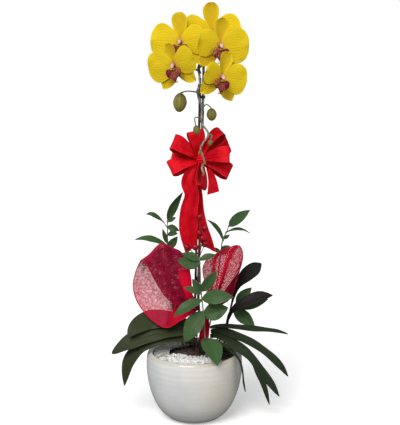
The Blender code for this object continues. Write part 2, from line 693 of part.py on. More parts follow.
def add_berry_pick():
    stem = [(3, -33, 119, 1.2), (5, -35, 160, 1.2), (8, -36, 205, 1.2), (8, -35, 245, 1.2),
            (9, -33, 280, 1.1), (9, -33, 310, 1.1)]
    base = add_object("berry_pick", tube(stem, 10, 6), "berry")
    top = Vector((9, -33, 306))
    ball = [(0, -1), (0.8, -0.62), (1, 0), (0.8, 0.62), (0, 1)]
    guides = []
    for number, centre in enumerate(BERRIES, 1):
        bend = top.lerp(Vector(centre), 0.5) + Vector((0, -2, 0))
        wire = [(*top, 0.9), (*bend, 0.8), (*centre, 0.8)]
        guides.append(add_object(f"berry_wire_{number}", tube(wire, 4, 5), "berry"))
        points, faces = lathe([(BERRY_RADIUS * r, BERRY_RADIUS * z) for r, z in ball], 8)
        points = [Vector(point) + Vector(centre) for point in points]
        guides.append(add_object(f"berry_{number}", (points, faces), "berry"))
    combine(base, guides, "UNION")


def add_mesh_fans():
    add_object("mesh_fan_left", thicken(surface_grid(LEFT_FAN, 20, 6), MESH_THICKNESS), "mesh")
    add_object("mesh_fan_right", thicken(surface_grid(RIGHT_FAN, 8, 15), MESH_THICKNESS), "mesh")
    grid = strip_grid(MESH_TAIL, 5, (0.1, -1, 0), 2, 0.25)
    add_object("mesh_tail", thicken(grid, 2.0), "mesh")


# ---------------------------------------------------------------- filler foliage

FRONT = (0.0, -0.9, 0.35)


def add_foliage():
    add_sprig("sprig_upper_left", [
        [(-18, 34, 118), (-34, 38, 160), (-44, 42, 229), (-49, 43, 286), (-50, 43, 321), (-50, 43, 352)],
        [(-50, 43, 346), (-50, 43, 356), (-49, 43, 362)],
        [(-50, 43, 346), (-55, 43, 354), (-59, 43, 360)],
    ], [
        (1, 360, (-21, 40, 414), 17, (0.5, -0.8, 0.3), -7),
        (2, 358, (-89, 38, 372), 12, (-0.4, -0.5, 0.8), 9),
        (1, 358, (-34, 42, 366), 9, FRONT, 2),
        (0, 349, (-28, 41, 341), 13, FRONT, 2),
        (0, 333, (-31, 40, 336), 11, (0.2, -0.9, 0.5), 5),
        (0, 316, (-59, 41, 345), 9, (-0.2, -0.9, 0.2), 1),
        (0, 306, (-31, 39, 331), 15, (0.2, -0.9, 0.3), 1),
        (0, 312, (-111, 38, 324), 15, (-0.2, -0.6, 0.8), 12),
    ])
    add_sprig("sprig_upper_right", [
        [(14, 33, 118.5), (28, 34, 160), (40, 38, 229), (48, 40, 286), (52, 40, 321), (60, 39, 340),
         (64, 38, 351)],
    ], [
        (0, 350, (103, 36, 381), 21, (-0.2, -0.85, 0.5), 2),
        (0, 338, (104, 38, 336), 10, (0.1, -0.4, 0.9), 9),
        (0, 323, (23, 36, 363), 12, (0.5, -0.6, 0.6), 7),
        (0, 326, (66, 39, 334), 7, FRONT, 1),
        (0, 298, (66, 35, 314), 16, (0.1, -0.85, 0.5), 2),
        (0, 300, (30, 36, 306), 12, (0.0, -0.6, 0.8), 3),
    ])
    add_sprig("sprig_centre", [
        [(22, -36, 116), (21, -38, 146), (19, -40, 165), (16, -42, 212), (12, -43, 249), (11, -41, 284),
         (9, -39, 309)],
    ], [
        (0, 246, (40, -48, 285), 19, (0.3, -0.9, 0.3), 3),
        (0, 246, (-3, -46, 270), 13, (-0.3, -0.9, 0.3), 2),
        (0, 242, (-18, -50, 255), 13, (-0.1, -0.8, 0.6), 4),
        (0, 233, (70, -52, 238), 27, (0.0, -0.85, 0.5), 6),
        (0, 231, (-36, -56, 203), 21, (-0.3, -0.8, 0.6), 7),
        (0, 210, (-17, -60, 158), 33, (-0.3, -0.9, 0.2), 5),
        (0, 203, (61, -44, 217), 31, (0.1, -0.95, 0.3), 2),
        (0, 160, (41, -88, 124), 37, (0.3, -0.7, 0.7), 8),
        (0, 285, (-29, -46, 291), 25, (0.0, -0.95, 0.3), 2),
        (0, 303, (-22, -42, 315), 15, (0.0, -0.8, 0.6), 2),
        (0, 302, (39, -36, 311), 13, (0.0, -0.7, 0.7), 3),
    ])
    add_sprig("sprig_lower_right", [
        [(34, 24, 118), (38, 27, 130), (50, 31, 146), (61, 34, 166), (73, 36, 190), (79, 36, 206)],
    ], [
        (0, 204, (107, 34, 235), 20, (0.0, -0.9, 0.4), 2),
        (0, 200, (138, 32, 213), 27, (0.1, -0.9, 0.4), 2),
        (0, 192, (113, 30, 162), 25, (0.2, -0.9, 0.2), 3),
    ])


def main():
    clear_scene()
    add_pot()
    add_fillings()
    add_top_dressing()
    add_crown_and_leaves()
    add_stake()
    add_spike_flowers_and_buds()
    add_bow()
    add_berry_pick()
    add_mesh_fans()
    add_foliage()


main()
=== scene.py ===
"""Looks of the potted moth orchid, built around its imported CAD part.

Frame: metres, +Z up, -Y to the front. Places are in millimetres, as in the CAD source, and MM turns
them into metres. Every mesh carries two vectors per point that the materials read. "place" is
(across, along, side) on a blade or cloth and (around, along, 0) on a tube or turned body. "tint" is
what each material's docstring says, or (variation, special, size).
"""

import math
import random

import bmesh
import bpy
import numpy as np
from mathutils import Matrix, Vector, noise


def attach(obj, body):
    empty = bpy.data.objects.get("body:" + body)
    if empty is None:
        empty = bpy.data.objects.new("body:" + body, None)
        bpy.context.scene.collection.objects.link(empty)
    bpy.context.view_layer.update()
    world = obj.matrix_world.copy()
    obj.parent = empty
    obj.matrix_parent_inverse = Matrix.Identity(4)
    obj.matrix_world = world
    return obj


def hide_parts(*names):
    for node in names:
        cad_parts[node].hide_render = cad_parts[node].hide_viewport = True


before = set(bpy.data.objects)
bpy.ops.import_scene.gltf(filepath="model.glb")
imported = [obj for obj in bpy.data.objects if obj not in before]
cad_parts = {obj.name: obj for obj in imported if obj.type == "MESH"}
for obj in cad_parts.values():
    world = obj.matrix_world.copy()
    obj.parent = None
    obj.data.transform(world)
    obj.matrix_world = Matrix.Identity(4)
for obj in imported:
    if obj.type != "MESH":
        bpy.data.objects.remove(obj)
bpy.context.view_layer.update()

MM = 0.001
TAU = math.tau


# ---------------------------------------------------------------- numbers and curves

def unit(vectors):
    return vectors / np.maximum(np.linalg.norm(vectors, axis=-1, keepdims=True), 1e-9)


def curve(rows, steps):
    """Catmull-Rom curve through rows of numbers, as steps + 1 rows."""
    rows = np.array(rows, float)
    ends = np.vstack([rows[:1], rows, rows[-1:]])
    place = np.linspace(0, len(rows) - 1, steps + 1)
    span = np.minimum(place.astype(int), len(rows) - 2)
    t = (place - span)[:, None]
    a, b, c, d = (ends[span + k] for k in range(4))
    return 0.5 * (2 * b + (c - a) * t + (2 * a - 5 * b + 4 * c - d) * t ** 2
                  + (3 * b - a - 3 * c + d) * t ** 3)


def wobble(points, size, seed=0):
    """Smooth noise from -1 to 1 at each point, in patches of about SIZE mm."""
    shift = Vector((13.7, 7.1, 3.3)) * seed
    values = [noise.noise(Vector(point) / size + shift) for point in points.reshape(-1, 3)]
    return np.array(values).reshape(points.shape[:-1])


def ease(values, start, stop):
    """0 before START, 1 after STOP, smooth between them."""
    t = np.clip((values - start) / (stop - start), 0, 1)
    return t * t * (3 - 2 * t)


def dome(across):
    """1 in the middle of a strip, round down to 0 at its edges."""
    return np.sqrt(np.clip(1 - across ** 2, 0, 1))


def normals(grid):
    return unit(np.cross(np.gradient(grid, axis=0), np.gradient(grid, axis=1)))


def strip_axes(stations, facing):
    """Tangent, normal towards FACING and sideways direction along a strip's stations."""
    tangent = unit(np.gradient(stations[:, :3], axis=0))
    look = np.array(facing, float)
    normal = unit(look - tangent * (tangent @ look)[:, None])
    return tangent, normal, np.cross(tangent, normal)


def bearing(points):
    """Angle of each point about the upright axis."""
    return np.arctan2(points[:, 1], points[:, 0])


def polar(turn, radius, height):
    return (radius * math.cos(turn), radius * math.sin(turn), height)


def line_length(line):
    return np.linalg.norm(np.diff(line, axis=0), axis=1).sum()


def spread(rows, columns):
    """(across from -1 to 1, along from 0 to 1) for a grid."""
    along, across = np.meshgrid(np.linspace(0, 1, rows + 1), np.linspace(-1, 1, columns + 1),
                                indexing="ij")
    return across, along


# ---------------------------------------------------------------- shapes: (points, faces, place, tint)

def shape(points, faces, place, tint):
    tint = np.broadcast_to(np.array(tint, float), (len(points), 3))
    return points, faces, place, tint


def solid(grid, thickness, across, along, tint=(0, 0, 0)):
    """Closed skin on both sides of a grid of points; TINT is one vector, or one per grid point."""
    rows, columns = grid.shape[:2]
    normal = normals(grid)
    half = normal * np.broadcast_to(thickness, (rows, columns))[..., None] / 2
    points = np.concatenate([(grid + half).reshape(-1, 3), (grid - half).reshape(-1, 3)])
    index = np.arange(rows * columns).reshape(rows, columns)
    under = rows * columns
    quads = np.stack([index[:-1, :-1], index[1:, :-1], index[1:, 1:], index[:-1, 1:]], -1)
    quads = quads.reshape(-1, 4)
    edge = np.concatenate([index[:-1, 0], index[-1, :-1], index[:0:-1, -1], index[0, :0:-1]])
    after = np.roll(edge, -1)
    rim = np.stack([after, edge, edge + under, after + under], -1)
    faces = np.concatenate([quads, quads[:, ::-1] + under, rim]).tolist()
    flat = np.stack([across.ravel(), along.ravel()], -1)
    side = np.ones((under, 1))
    place = np.concatenate([np.hstack([flat, side]), np.hstack([flat, -side])])
    tint = np.broadcast_to(np.array(tint, float), (rows, columns, 3)).reshape(-1, 3)
    return shape(points, faces, place, np.concatenate([tint, tint]))


def rings(centres, radii, sides, tint=(0, 0, 0), squash=1.0):
    """Closed tube around CENTRES; SQUASH flattens it."""
    steps = len(centres) - 1
    tangents = unit(np.gradient(centres, axis=0))
    side = np.array((0.31, 0.9, 0.3))
    angles = np.arange(sides) / sides * TAU
    points = []
    for centre, tangent, radius in zip(centres, tangents, radii):
        side = unit(side - tangent * (side @ tangent))
        other = np.cross(tangent, side)
        circle = np.cos(angles)[:, None] * side + squash * np.sin(angles)[:, None] * other
        points.append(centre + circle * radius)
    points = np.concatenate(points)
    faces = []
    for ring in range(steps):
        low = ring * sides
        for k in range(sides):
            following = (k + 1) % sides
            faces.append((low + k, low + following, low + sides + following, low + sides + k))
    faces.append(tuple(range(sides - 1, -1, -1)))
    faces.append(tuple(range(steps * sides, (steps + 1) * sides)))
    place = np.stack([np.tile(np.arange(sides) / sides, steps + 1),
                      np.repeat(np.linspace(0, 1, steps + 1), sides),
                      np.zeros(len(points))], -1)
    return shape(points, faces, place, tint)


def tube(rows, steps, sides, tint=(0, 0, 0), squash=1.0):
    """Tube through rows of (x, y, z, radius), with rounded ends."""
    stations = curve(rows, steps)
    radii = stations[:, 3].copy()
    radii[0] *= 0.55
    radii[-1] *= 0.55
    return rings(stations[:, :3], radii, sides, tint, squash)


def lathe(profile, steps, tint=(0, 0, 0), wave=None):
    """Body of revolution from (radius, height) rows that start and end on the axis.

    WAVE(points) gives a factor on the radius of each point.
    """
    profile = np.array(profile, float)
    angles = np.arange(steps) / steps * TAU
    inner = profile[1:-1]
    turned = np.stack([inner[:, :1] * np.cos(angles), inner[:, :1] * np.sin(angles),
                       np.repeat(inner[:, 1:], steps, 1)], -1).reshape(-1, 3)
    if wave:
        turned[:, :2] *= wave(turned)[:, None]
    ends = [(0, 0, profile[0, 1]), (0, 0, profile[-1, 1])]
    points = np.concatenate([ends, turned])
    faces = []
    last = 2 + (len(inner) - 1) * steps
    for k in range(steps):
        following = (k + 1) % steps
        faces.append((0, 2 + following, 2 + k))
        faces.append((1, last + k, last + following))
        for ring in range(len(inner) - 1):
            low = 2 + ring * steps
            faces.append((low + k, low + following, low + steps + following, low + steps + k))
    share = np.repeat(np.arange(len(inner)) / max(len(inner) - 1, 1), steps)
    place = np.stack([np.tile(np.arange(steps) / steps, len(inner)), share,
                      np.zeros(len(turned))], -1)
    place = np.concatenate([[(0, 0, 0), (0, 1, 0)], place])
    return shape(points, faces, place, tint)


def moved(made, matrix):
    """The shape after a 4 x 4 matrix in mm."""
    points, faces, place, tint = made
    turn = np.array(matrix)
    return points @ turn[:3, :3].T + turn[:3, 3], faces, place, tint


def ball(radius, rows, columns, tint=(0, 0, 0), wave=None):
    """Ball about the origin."""
    turns = np.linspace(-math.pi / 2, math.pi / 2, rows + 1)
    profile = [(radius * math.cos(turn), radius * math.sin(turn)) for turn in turns]
    return lathe(profile, columns, tint, wave)


# ---------------------------------------------------------------- objects

SHARP_ANGLE = 62


def add_object(name, data):
    made = bpy.data.objects.new(name, data)
    bpy.context.scene.collection.objects.link(made)
    return made


def repaint(node, finish):
    """Give a CAD solid that stays in view a new material."""
    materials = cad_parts[node].data.materials
    materials.clear()
    materials.append(FINISHES[finish])


def piece(name, nodes, groups):
    """One object that stands for CAD NODES, from groups of (finish, shapes)."""
    points, faces, places, tints, kinds, start = [], [], [], [], [], 0
    for kind, (_, shapes) in enumerate(groups):
        for made_points, made_faces, place, tint in shapes:
            points.append(made_points)
            places.append(place)
            tints.append(tint)
            faces.extend(tuple(start + index for index in face) for face in made_faces)
            kinds.extend([kind] * len(made_faces))
            start += len(made_points)
    mesh = bpy.data.meshes.new(name)
    mesh.from_pydata((np.concatenate(points) * MM).tolist(), [], faces)
    for label, values in (("place", places), ("tint", tints)):
        layer = mesh.attributes.new(label, "FLOAT_VECTOR", "POINT")
        layer.data.foreach_set("vector", np.concatenate(values).astype(np.float32).ravel())
    for finish, _ in groups:
        mesh.materials.append(FINISHES[finish])
    mesh.polygons.foreach_set("material_index", kinds)
    mesh.shade_smooth()
    mesh.set_sharp_from_angle(angle=math.radians(SHARP_ANGLE))
    made = add_object(name, mesh)
    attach(made, "root")
    if nodes:
        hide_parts(*nodes)
    return made


# ---------------------------------------------------------------- materials

class Graph:
    """Nodes of one material around its Principled shader."""

    def __init__(self, name, **constants):
        self.material = bpy.data.materials.new(name)
        self.material.use_nodes = True
        self.tree = self.material.node_tree
        self.shader = self.tree.nodes["Principled BSDF"]
        for socket, value in constants.items():
            self.shader.inputs[socket.replace("_", " ")].default_value = value

    def put(self, socket, value):
        if isinstance(value, bpy.types.NodeSocket):
            self.tree.links.new(value, socket)
        elif isinstance(value, tuple) and socket.type == "RGBA":
            socket.default_value = (*value, 1.0)
        elif value is not None:
            socket.default_value = value

    def node(self, kind, inputs, output=0, **settings):
        made = self.tree.nodes.new(kind)
        for key, value in settings.items():
            setattr(made, key, value)
        for socket, value in inputs.items():
            self.put(made.inputs[socket], value)
        return made.outputs[output]

    def where(self):
        """Place on the object, in metres."""
        return self.node("ShaderNodeTexCoord", {}, "Object")

    def parts(self, name):
        """The three numbers of a vector that the mesh carries."""
        vector = self.node("ShaderNodeAttribute", {}, "Vector", attribute_name=name)
        split = self.tree.nodes.new("ShaderNodeSeparateXYZ")
        self.put(split.inputs[0], vector)
        return split.outputs[0], split.outputs[1], split.outputs[2]

    def vector(self, x, y):
        return self.node("ShaderNodeCombineXYZ", {0: x, 1: y, 2: 0.0})

    def stretch(self, vector, scale):
        return self.node("ShaderNodeMapping", {"Vector": vector, "Scale": scale})

    def noise(self, vector, scale, detail=3.0, distortion=0.0):
        return self.node("ShaderNodeTexNoise", {"Vector": vector, "Scale": scale, "Detail": detail,
                                                "Distortion": distortion}, "Fac")

    def cells(self, vector, scale):
        return self.node("ShaderNodeTexVoronoi", {"Vector": vector, "Scale": scale}, "Distance")

    def math(self, operation, a, b=None, c=None):
        made = self.tree.nodes.new("ShaderNodeMath")
        made.operation = operation
        for socket, value in zip(made.inputs, (a, b, c)):
            self.put(socket, value)
        return made.outputs[0]

    def times(self, a, b):
        return self.math("MULTIPLY", a, b)

    def plus(self, a, b):
        return self.math("ADD", a, b)

    def span(self, value, low, high, to_low=0.0, to_high=1.0):
        """VALUE from LOW to HIGH turned smoothly into TO_LOW to TO_HIGH."""
        return self.node("ShaderNodeMapRange", {"Value": value, "From Min": low, "From Max": high,
                                                "To Min": to_low, "To Max": to_high},
                         interpolation_type="SMOOTHSTEP")

    def ramp(self, value, *stops):
        """Colour from stops of (position, colour)."""
        made = self.tree.nodes.new("ShaderNodeValToRGB")
        elements = made.color_ramp.elements
        while len(elements) < len(stops):
            elements.new(0.5)
        for element, (position, colour) in zip(elements, stops):
            element.position = position
            element.color = (*colour, 1.0)
        self.put(made.inputs[0], value)
        return made.outputs[0]

    def mix(self, factor, a, b, blend="MIX"):
        made = self.tree.nodes.new("ShaderNodeMix")
        made.data_type = "RGBA"
        made.blend_type = blend
        for socket, value in zip((made.inputs[0], made.inputs[6], made.inputs[7]), (factor, a, b)):
            self.put(socket, value)
        return made.outputs[2]

    def finish(self, colour, roughness=None, height=None, depth=0.0005, strength=0.5):
        """Link the shader's colour, roughness and relief (HEIGHT of DEPTH metres)."""
        self.put(self.shader.inputs["Base Color"], colour)
        self.put(self.shader.inputs["Roughness"], roughness)
        if height is not None:
            normal = self.node("ShaderNodeBump", {"Height": height, "Distance": depth,
                                                  "Strength": strength})
            self.put(self.shader.inputs["Normal"], normal)
        return self.material


def lines(g, value, count, sharpness):
    """Thin lines, 1 on the line, COUNT of them per unit of VALUE."""
    wave = g.math("COSINE", g.times(value, count * TAU))
    return g.math("POWER", g.math("MULTIPLY_ADD", wave, 0.5, 0.5), sharpness)


def glaze():
    """Off-white glaze: clouds of cool grey and warm cream, faint drips, fine specks, a browner lip, and
    painted shade: darker and warmer towards the pot's right side, darker grey towards the foot.
    """
    g = Graph("glaze", Coat_Weight=0.35, Coat_Roughness=0.08, IOR=1.48)
    where = g.where()
    cloud = g.noise(where, 14.0, 4.0)
    speckle = g.noise(where, 420.0, 2.0)
    drips = g.noise(g.stretch(where, (60.0, 60.0, 5.0)), 1.0, 3.0, 0.4)
    side = g.node("ShaderNodeSeparateXYZ", {0: where}, 0)
    height = g.node("ShaderNodeSeparateXYZ", {0: where}, 2)
    body = g.ramp(cloud, (0.3, (0.64, 0.66, 0.67)), (0.55, (0.73, 0.74, 0.73)), (0.75, (0.76, 0.75, 0.71)))
    # Painted warm shade: the pot's right side (towards +X) turns darker and warmer.
    warm = g.mix(1.0, body, (0.95, 0.9, 0.8), "MULTIPLY")
    body = g.mix(g.span(side, -0.06, 0.075), body, warm)
    body = g.mix(g.span(drips, 0.45, 0.75, 0.0, 0.3), body, (0.8, 0.79, 0.76))
    body = g.mix(g.span(speckle, 0.62, 0.8, 0.0, 0.3), body, (0.3, 0.27, 0.22))
    # Painted shade: the glaze darkens towards the foot.
    body = g.mix(g.span(height, 0.05, 0.0, 0.0, 0.5), body, (0.36, 0.37, 0.38))
    body = g.mix(g.span(height, 0.1165, 0.1215, 0.0, 0.55), body, (0.46, 0.41, 0.33))
    relief = g.plus(g.times(cloud, 1.0), g.times(drips, 0.35))
    return g.finish(body, g.span(speckle, 0.3, 0.8, 0.16, 0.32), relief, 0.0016, 0.35)


def bark():
    g = Graph("bark")
    where = g.where()
    grain = g.noise(g.stretch(where, (1.0, 1.0, 3.0)), 260.0, 6.0, 0.6)
    patch = g.noise(where, 70.0, 3.0)
    _, shade, _ = g.parts("tint")
    colour = g.ramp(grain, (0.3, (0.018, 0.012, 0.008)), (0.55, (0.07, 0.045, 0.028)),
                    (0.8, (0.16, 0.11, 0.07)))
    colour = g.mix(g.span(patch, 0.4, 0.7, 0.0, 0.5), colour, (0.045, 0.04, 0.036))
    colour = g.mix(g.times(shade, 0.6), colour, (0.14, 0.085, 0.05))
    return g.finish(colour, g.span(grain, 0.3, 0.8, 0.95, 0.7), grain, 0.0018, 0.9)


def nursery_plastic():
    g = Graph("nursery_plastic", Specular_IOR_Level=0.55)
    where = g.where()
    scuff = g.noise(g.stretch(where, (30.0, 30.0, 260.0)), 3.0, 4.0)
    dust = g.noise(where, 60.0, 5.0)
    colour = g.ramp(dust, (0.4, (0.018, 0.018, 0.02)), (0.75, (0.085, 0.083, 0.08)))
    return g.finish(colour, g.span(scuff, 0.3, 0.7, 0.22, 0.5), scuff, 0.0004, 0.4)


def gravel():
    g = Graph("gravel", Specular_IOR_Level=0.45, Subsurface_Weight=0.08, Subsurface_Scale=0.003)
    where = g.where()
    tone, grey, _ = g.parts("tint")
    grain = g.noise(where, 520.0, 5.0)
    vein = g.noise(where, 150.0, 3.0, 1.2)
    colour = g.ramp(tone, (0.0, (0.66, 0.65, 0.63)), (0.5, (0.84, 0.83, 0.81)), (1.0, (0.9, 0.89, 0.87)))
    colour = g.mix(g.times(grey, 0.75), colour, (0.3, 0.29, 0.27))
    colour = g.mix(g.span(vein, 0.52, 0.62, 0.0, 0.35), colour, (0.55, 0.52, 0.47))
    return g.finish(colour, g.span(grain, 0.3, 0.7, 0.45, 0.8), grain, 0.0006, 0.6)


def moss():
    g = Graph("moss")
    tone, _, _ = g.parts("tint")
    fibre = g.noise(g.where(), 700.0, 3.0)
    colour = g.ramp(tone, (0.0, (0.3, 0.3, 0.26)), (0.45, (0.58, 0.59, 0.55)), (1.0, (0.84, 0.85, 0.82)))
    colour = g.mix(g.span(fibre, 0.5, 0.75, 0.0, 0.4), colour, (0.26, 0.27, 0.2))
    return g.finish(colour, 0.9, fibre, 0.0005, 0.8)


def leaf_finish(name, dark, mid, light, under, veins, roughness, coat):
    """Waxy leaf: lengthwise or slanting veins over a mottled blade, and a paler underside."""
    g = Graph(name, Coat_Weight=coat, Coat_Roughness=0.22, Specular_IOR_Level=0.07)
    where = g.where()
    across, along, side = g.parts("place")
    tone, purple, length = g.parts("tint")
    patch = g.noise(where, 38.0, 4.0)
    fine = g.noise(where, 900.0, 2.0)
    shade = g.plus(g.times(patch, 0.45), g.math("MULTIPLY_ADD", tone, 0.6, -0.05))
    colour = g.ramp(shade, (0.12, dark), (0.42, mid), (0.72, light))
    spread_out = g.math("ABSOLUTE", across)
    if veins == "lengthwise":
        bend = g.noise(g.stretch(where, (20.0, 20.0, 20.0)), 1.0, 2.0)
        rib = lines(g, g.plus(across, g.times(bend, 0.06)), 5.0, 5.0)
        fine_rib = lines(g, across, 19.0, 2.0)
        relief = g.plus(rib, g.times(fine_rib, 0.3))
    else:
        slant = g.math("SUBTRACT", g.times(along, length),
                       g.times(g.math("POWER", spread_out, 0.8), 0.55))
        slant = g.plus(slant, g.times(patch, 0.12))
        rib = g.times(lines(g, slant, 1.6, 9.0), g.span(spread_out, 1.0, 0.6))
        relief = g.times(rib, -0.8)
    pale = g.mix(0.5, colour, light)
    colour = g.mix(g.times(rib, 0.5), colour, pale)
    midrib = g.span(spread_out, 0.075, 0.02)
    colour = g.mix(g.times(midrib, 0.5), colour, light)
    colour = g.mix(g.span(spread_out, 0.94, 1.0, 0.0, 0.4), colour, light)
    blush = g.times(purple, g.span(g.noise(where, 30.0, 3.0), 0.5, 0.75, 0.0, 0.3))
    colour = g.mix(blush, colour, (0.045, 0.022, 0.018))
    colour = g.mix(g.span(side, 0.2, -0.2), colour, under)
    relief = g.plus(relief, g.times(fine, 0.25))
    return g.finish(colour, g.span(patch, 0.3, 0.7, roughness - 0.07, roughness + 0.08), relief,
                    0.0006, 0.45)


def stem():
    g = Graph("stem", Coat_Weight=0.12, Coat_Roughness=0.3)
    where = g.where()
    tone, _, _ = g.parts("tint")
    streak = g.noise(g.stretch(where, (420.0, 420.0, 30.0)), 1.0, 4.0)
    patch = g.noise(where, 45.0, 4.0)
    colour = g.ramp(streak, (0.3, (0.07, 0.065, 0.05)), (0.5, (0.2, 0.185, 0.15)), (0.72, (0.5, 0.48, 0.43)))
    colour = g.mix(g.span(patch, 0.45, 0.65, 0.0, 0.6), colour, (0.14, 0.15, 0.085))
    colour = g.mix(g.times(tone, 0.8), colour, (0.13, 0.13, 0.06))
    return g.finish(colour, g.span(streak, 0.3, 0.7, 0.6, 0.4), streak, 0.0008, 0.6)


def stake():
    g = Graph("stake", Coat_Weight=0.3, Coat_Roughness=0.25)
    grain = g.noise(g.stretch(g.where(), (500.0, 500.0, 22.0)), 1.0, 4.0)
    colour = g.ramp(grain, (0.35, (0.012, 0.01, 0.01)), (0.7, (0.05, 0.042, 0.036)))
    return g.finish(colour, g.span(grain, 0.3, 0.7, 0.32, 0.55), grain, 0.0004, 0.6)


def petal():
    """Yellow petal with a fan of fine veins and a rosy throat.

    tint is (0, golden sepal, brown speckled lateral sepal).
    """
    g = Graph("petal", Specular_IOR_Level=0.04)
    where = g.where()
    across, along, side = g.parts("place")
    _, sepal, lateral = g.parts("tint")
    patch = g.noise(where, 55.0, 3.0)
    spread_out = g.math("ABSOLUTE", across)
    fan = g.plus(across, g.times(g.math("SUBTRACT", patch, 0.5), 0.16))
    vein = g.times(lines(g, fan, 6.0, 5.0), g.span(spread_out, 1.0, 0.7))
    fine = lines(g, fan, 17.0, 3.0)
    colour = g.ramp(along, (0.0, (0.7, 0.34, 0.03)), (0.18, (0.94, 0.68, 0.008)),
                    (0.55, (0.96, 0.71, 0.002)), (1.0, (0.98, 0.76, 0.004)))
    colour = g.mix(g.span(patch, 0.35, 0.7, 0.0, 0.4), colour, (0.98, 0.77, 0.008))
    inner = g.times(g.span(spread_out, 1.0, 0.55), g.span(along, 1.0, 0.8))
    golden = g.times(sepal, inner)
    colour = g.mix(g.times(golden, 0.85), colour, (0.74, 0.47, 0.001))
    colour = g.mix(g.times(vein, 0.4), colour, (0.6, 0.33, 0.001))
    colour = g.mix(g.times(fine, 0.12), colour, (0.62, 0.36, 0.002))
    brown = g.times(lateral, g.span(along, 0.95, 0.3))
    brown = g.times(brown, g.span(g.noise(where, 160.0, 3.0), 0.3, 0.6, 0.35, 1.0))
    colour = g.mix(g.times(brown, 0.7), colour, (0.36, 0.1, 0.006))
    freckle = g.span(g.cells(where, 620.0), 0.42, 0.22)
    spots = g.times(lateral, g.times(freckle, g.span(along, 0.75, 0.35)))
    colour = g.mix(g.times(spots, 0.6), colour, (0.22, 0.03, 0.015))
    throat = g.times(g.span(along, 0.2, 0.05), g.span(g.noise(where, 260.0, 3.0), 0.3, 0.6))
    colour = g.mix(g.times(throat, 0.6), colour, (0.5, 0.12, 0.16))
    colour = g.mix(g.span(spread_out, 0.94, 1.0, 0.0, 0.5), colour, (0.9, 0.72, 0.08))
    colour = g.mix(g.span(side, 0.2, -0.2, 0.0, 0.5), colour, (0.72, 0.52, 0.03))
    relief = g.plus(g.times(vein, -0.8), g.times(g.noise(where, 900.0, 2.0), 0.4))
    return g.finish(colour, g.span(patch, 0.3, 0.7, 0.52, 0.66), relief, 0.0006, 0.5)


def lip():
    """Magenta lip; tint.y turns a lobe to brown-red stripes over yellow."""
    g = Graph("lip", Specular_IOR_Level=0.1)
    where = g.where()
    across, along, _ = g.parts("place")
    _, striped, _ = g.parts("tint")
    patch = g.noise(where, 240.0, 3.0)
    stripe = lines(g, g.plus(across, g.times(patch, 0.3)), 2.5, 1.4)
    colour = g.ramp(patch, (0.35, (0.1, 0.0, 0.022)), (0.6, (0.17, 0.0, 0.042)), (0.8, (0.3, 0.012, 0.09)))
    colour = g.mix(g.times(striped, 0.6), colour, (0.24, 0.025, 0.012))
    pale = g.times(g.times(striped, stripe), g.span(along, 1.0, 0.4, 0.3, 1.0))
    colour = g.mix(g.times(pale, 0.6), colour, (0.6, 0.32, 0.06))
    colour = g.mix(g.times(striped, g.span(patch, 0.62, 0.7, 0.0, 0.5)), colour, (0.78, 0.5, 0.42))
    return g.finish(colour, 0.5, g.math("SUBTRACT", patch, g.times(stripe, 0.4)), 0.0005, 0.5)


def column():
    """White column, flushed pink, with a magenta root."""
    g = Graph("column", Specular_IOR_Level=0.3)
    where = g.where()
    _, along, _ = g.parts("place")
    patch = g.noise(where, 300.0, 3.0)
    colour = g.ramp(g.plus(g.times(along, 0.75), g.times(patch, 0.35)),
                    (0.2, (0.34, 0.04, 0.1)), (0.5, (0.62, 0.27, 0.3)), (0.85, (0.8, 0.66, 0.6)))
    return g.finish(colour, 0.45, patch, 0.0003, 0.4)


def callus():
    g = Graph("callus", Specular_IOR_Level=0.3)
    spots = g.cells(g.where(), 1400.0)
    colour = g.mix(g.span(spots, 0.45, 0.25), (0.62, 0.33, 0.02), (0.28, 0.02, 0.02))
    return g.finish(colour, 0.5, spots, 0.0003, 0.5)


def bud():
    """Olive bud with pale ribs, darker at its stalk."""
    g = Graph("bud", Coat_Weight=0.05, Coat_Roughness=0.3, Specular_IOR_Level=0.25)
    where = g.where()
    around, along, _ = g.parts("place")
    tone, _, _ = g.parts("tint")
    patch = g.noise(where, 130.0, 4.0)
    rib = lines(g, g.plus(around, g.times(patch, 0.03)), 9.0, 2.0)
    colour = g.ramp(along, (0.0, (0.08, 0.075, 0.02)), (0.25, (0.17, 0.15, 0.03)),
                    (0.65, (0.27, 0.23, 0.045)), (1.0, (0.14, 0.11, 0.025)))
    colour = g.mix(g.times(rib, 0.4), colour, (0.4, 0.35, 0.09))
    colour = g.mix(g.times(tone, 0.6), colour, (0.09, 0.07, 0.025))
    colour = g.mix(g.span(patch, 0.55, 0.75, 0.0, 0.5), colour, (0.12, 0.09, 0.02))
    return g.finish(colour, 0.48, g.plus(rib, patch), 0.0006, 0.5)


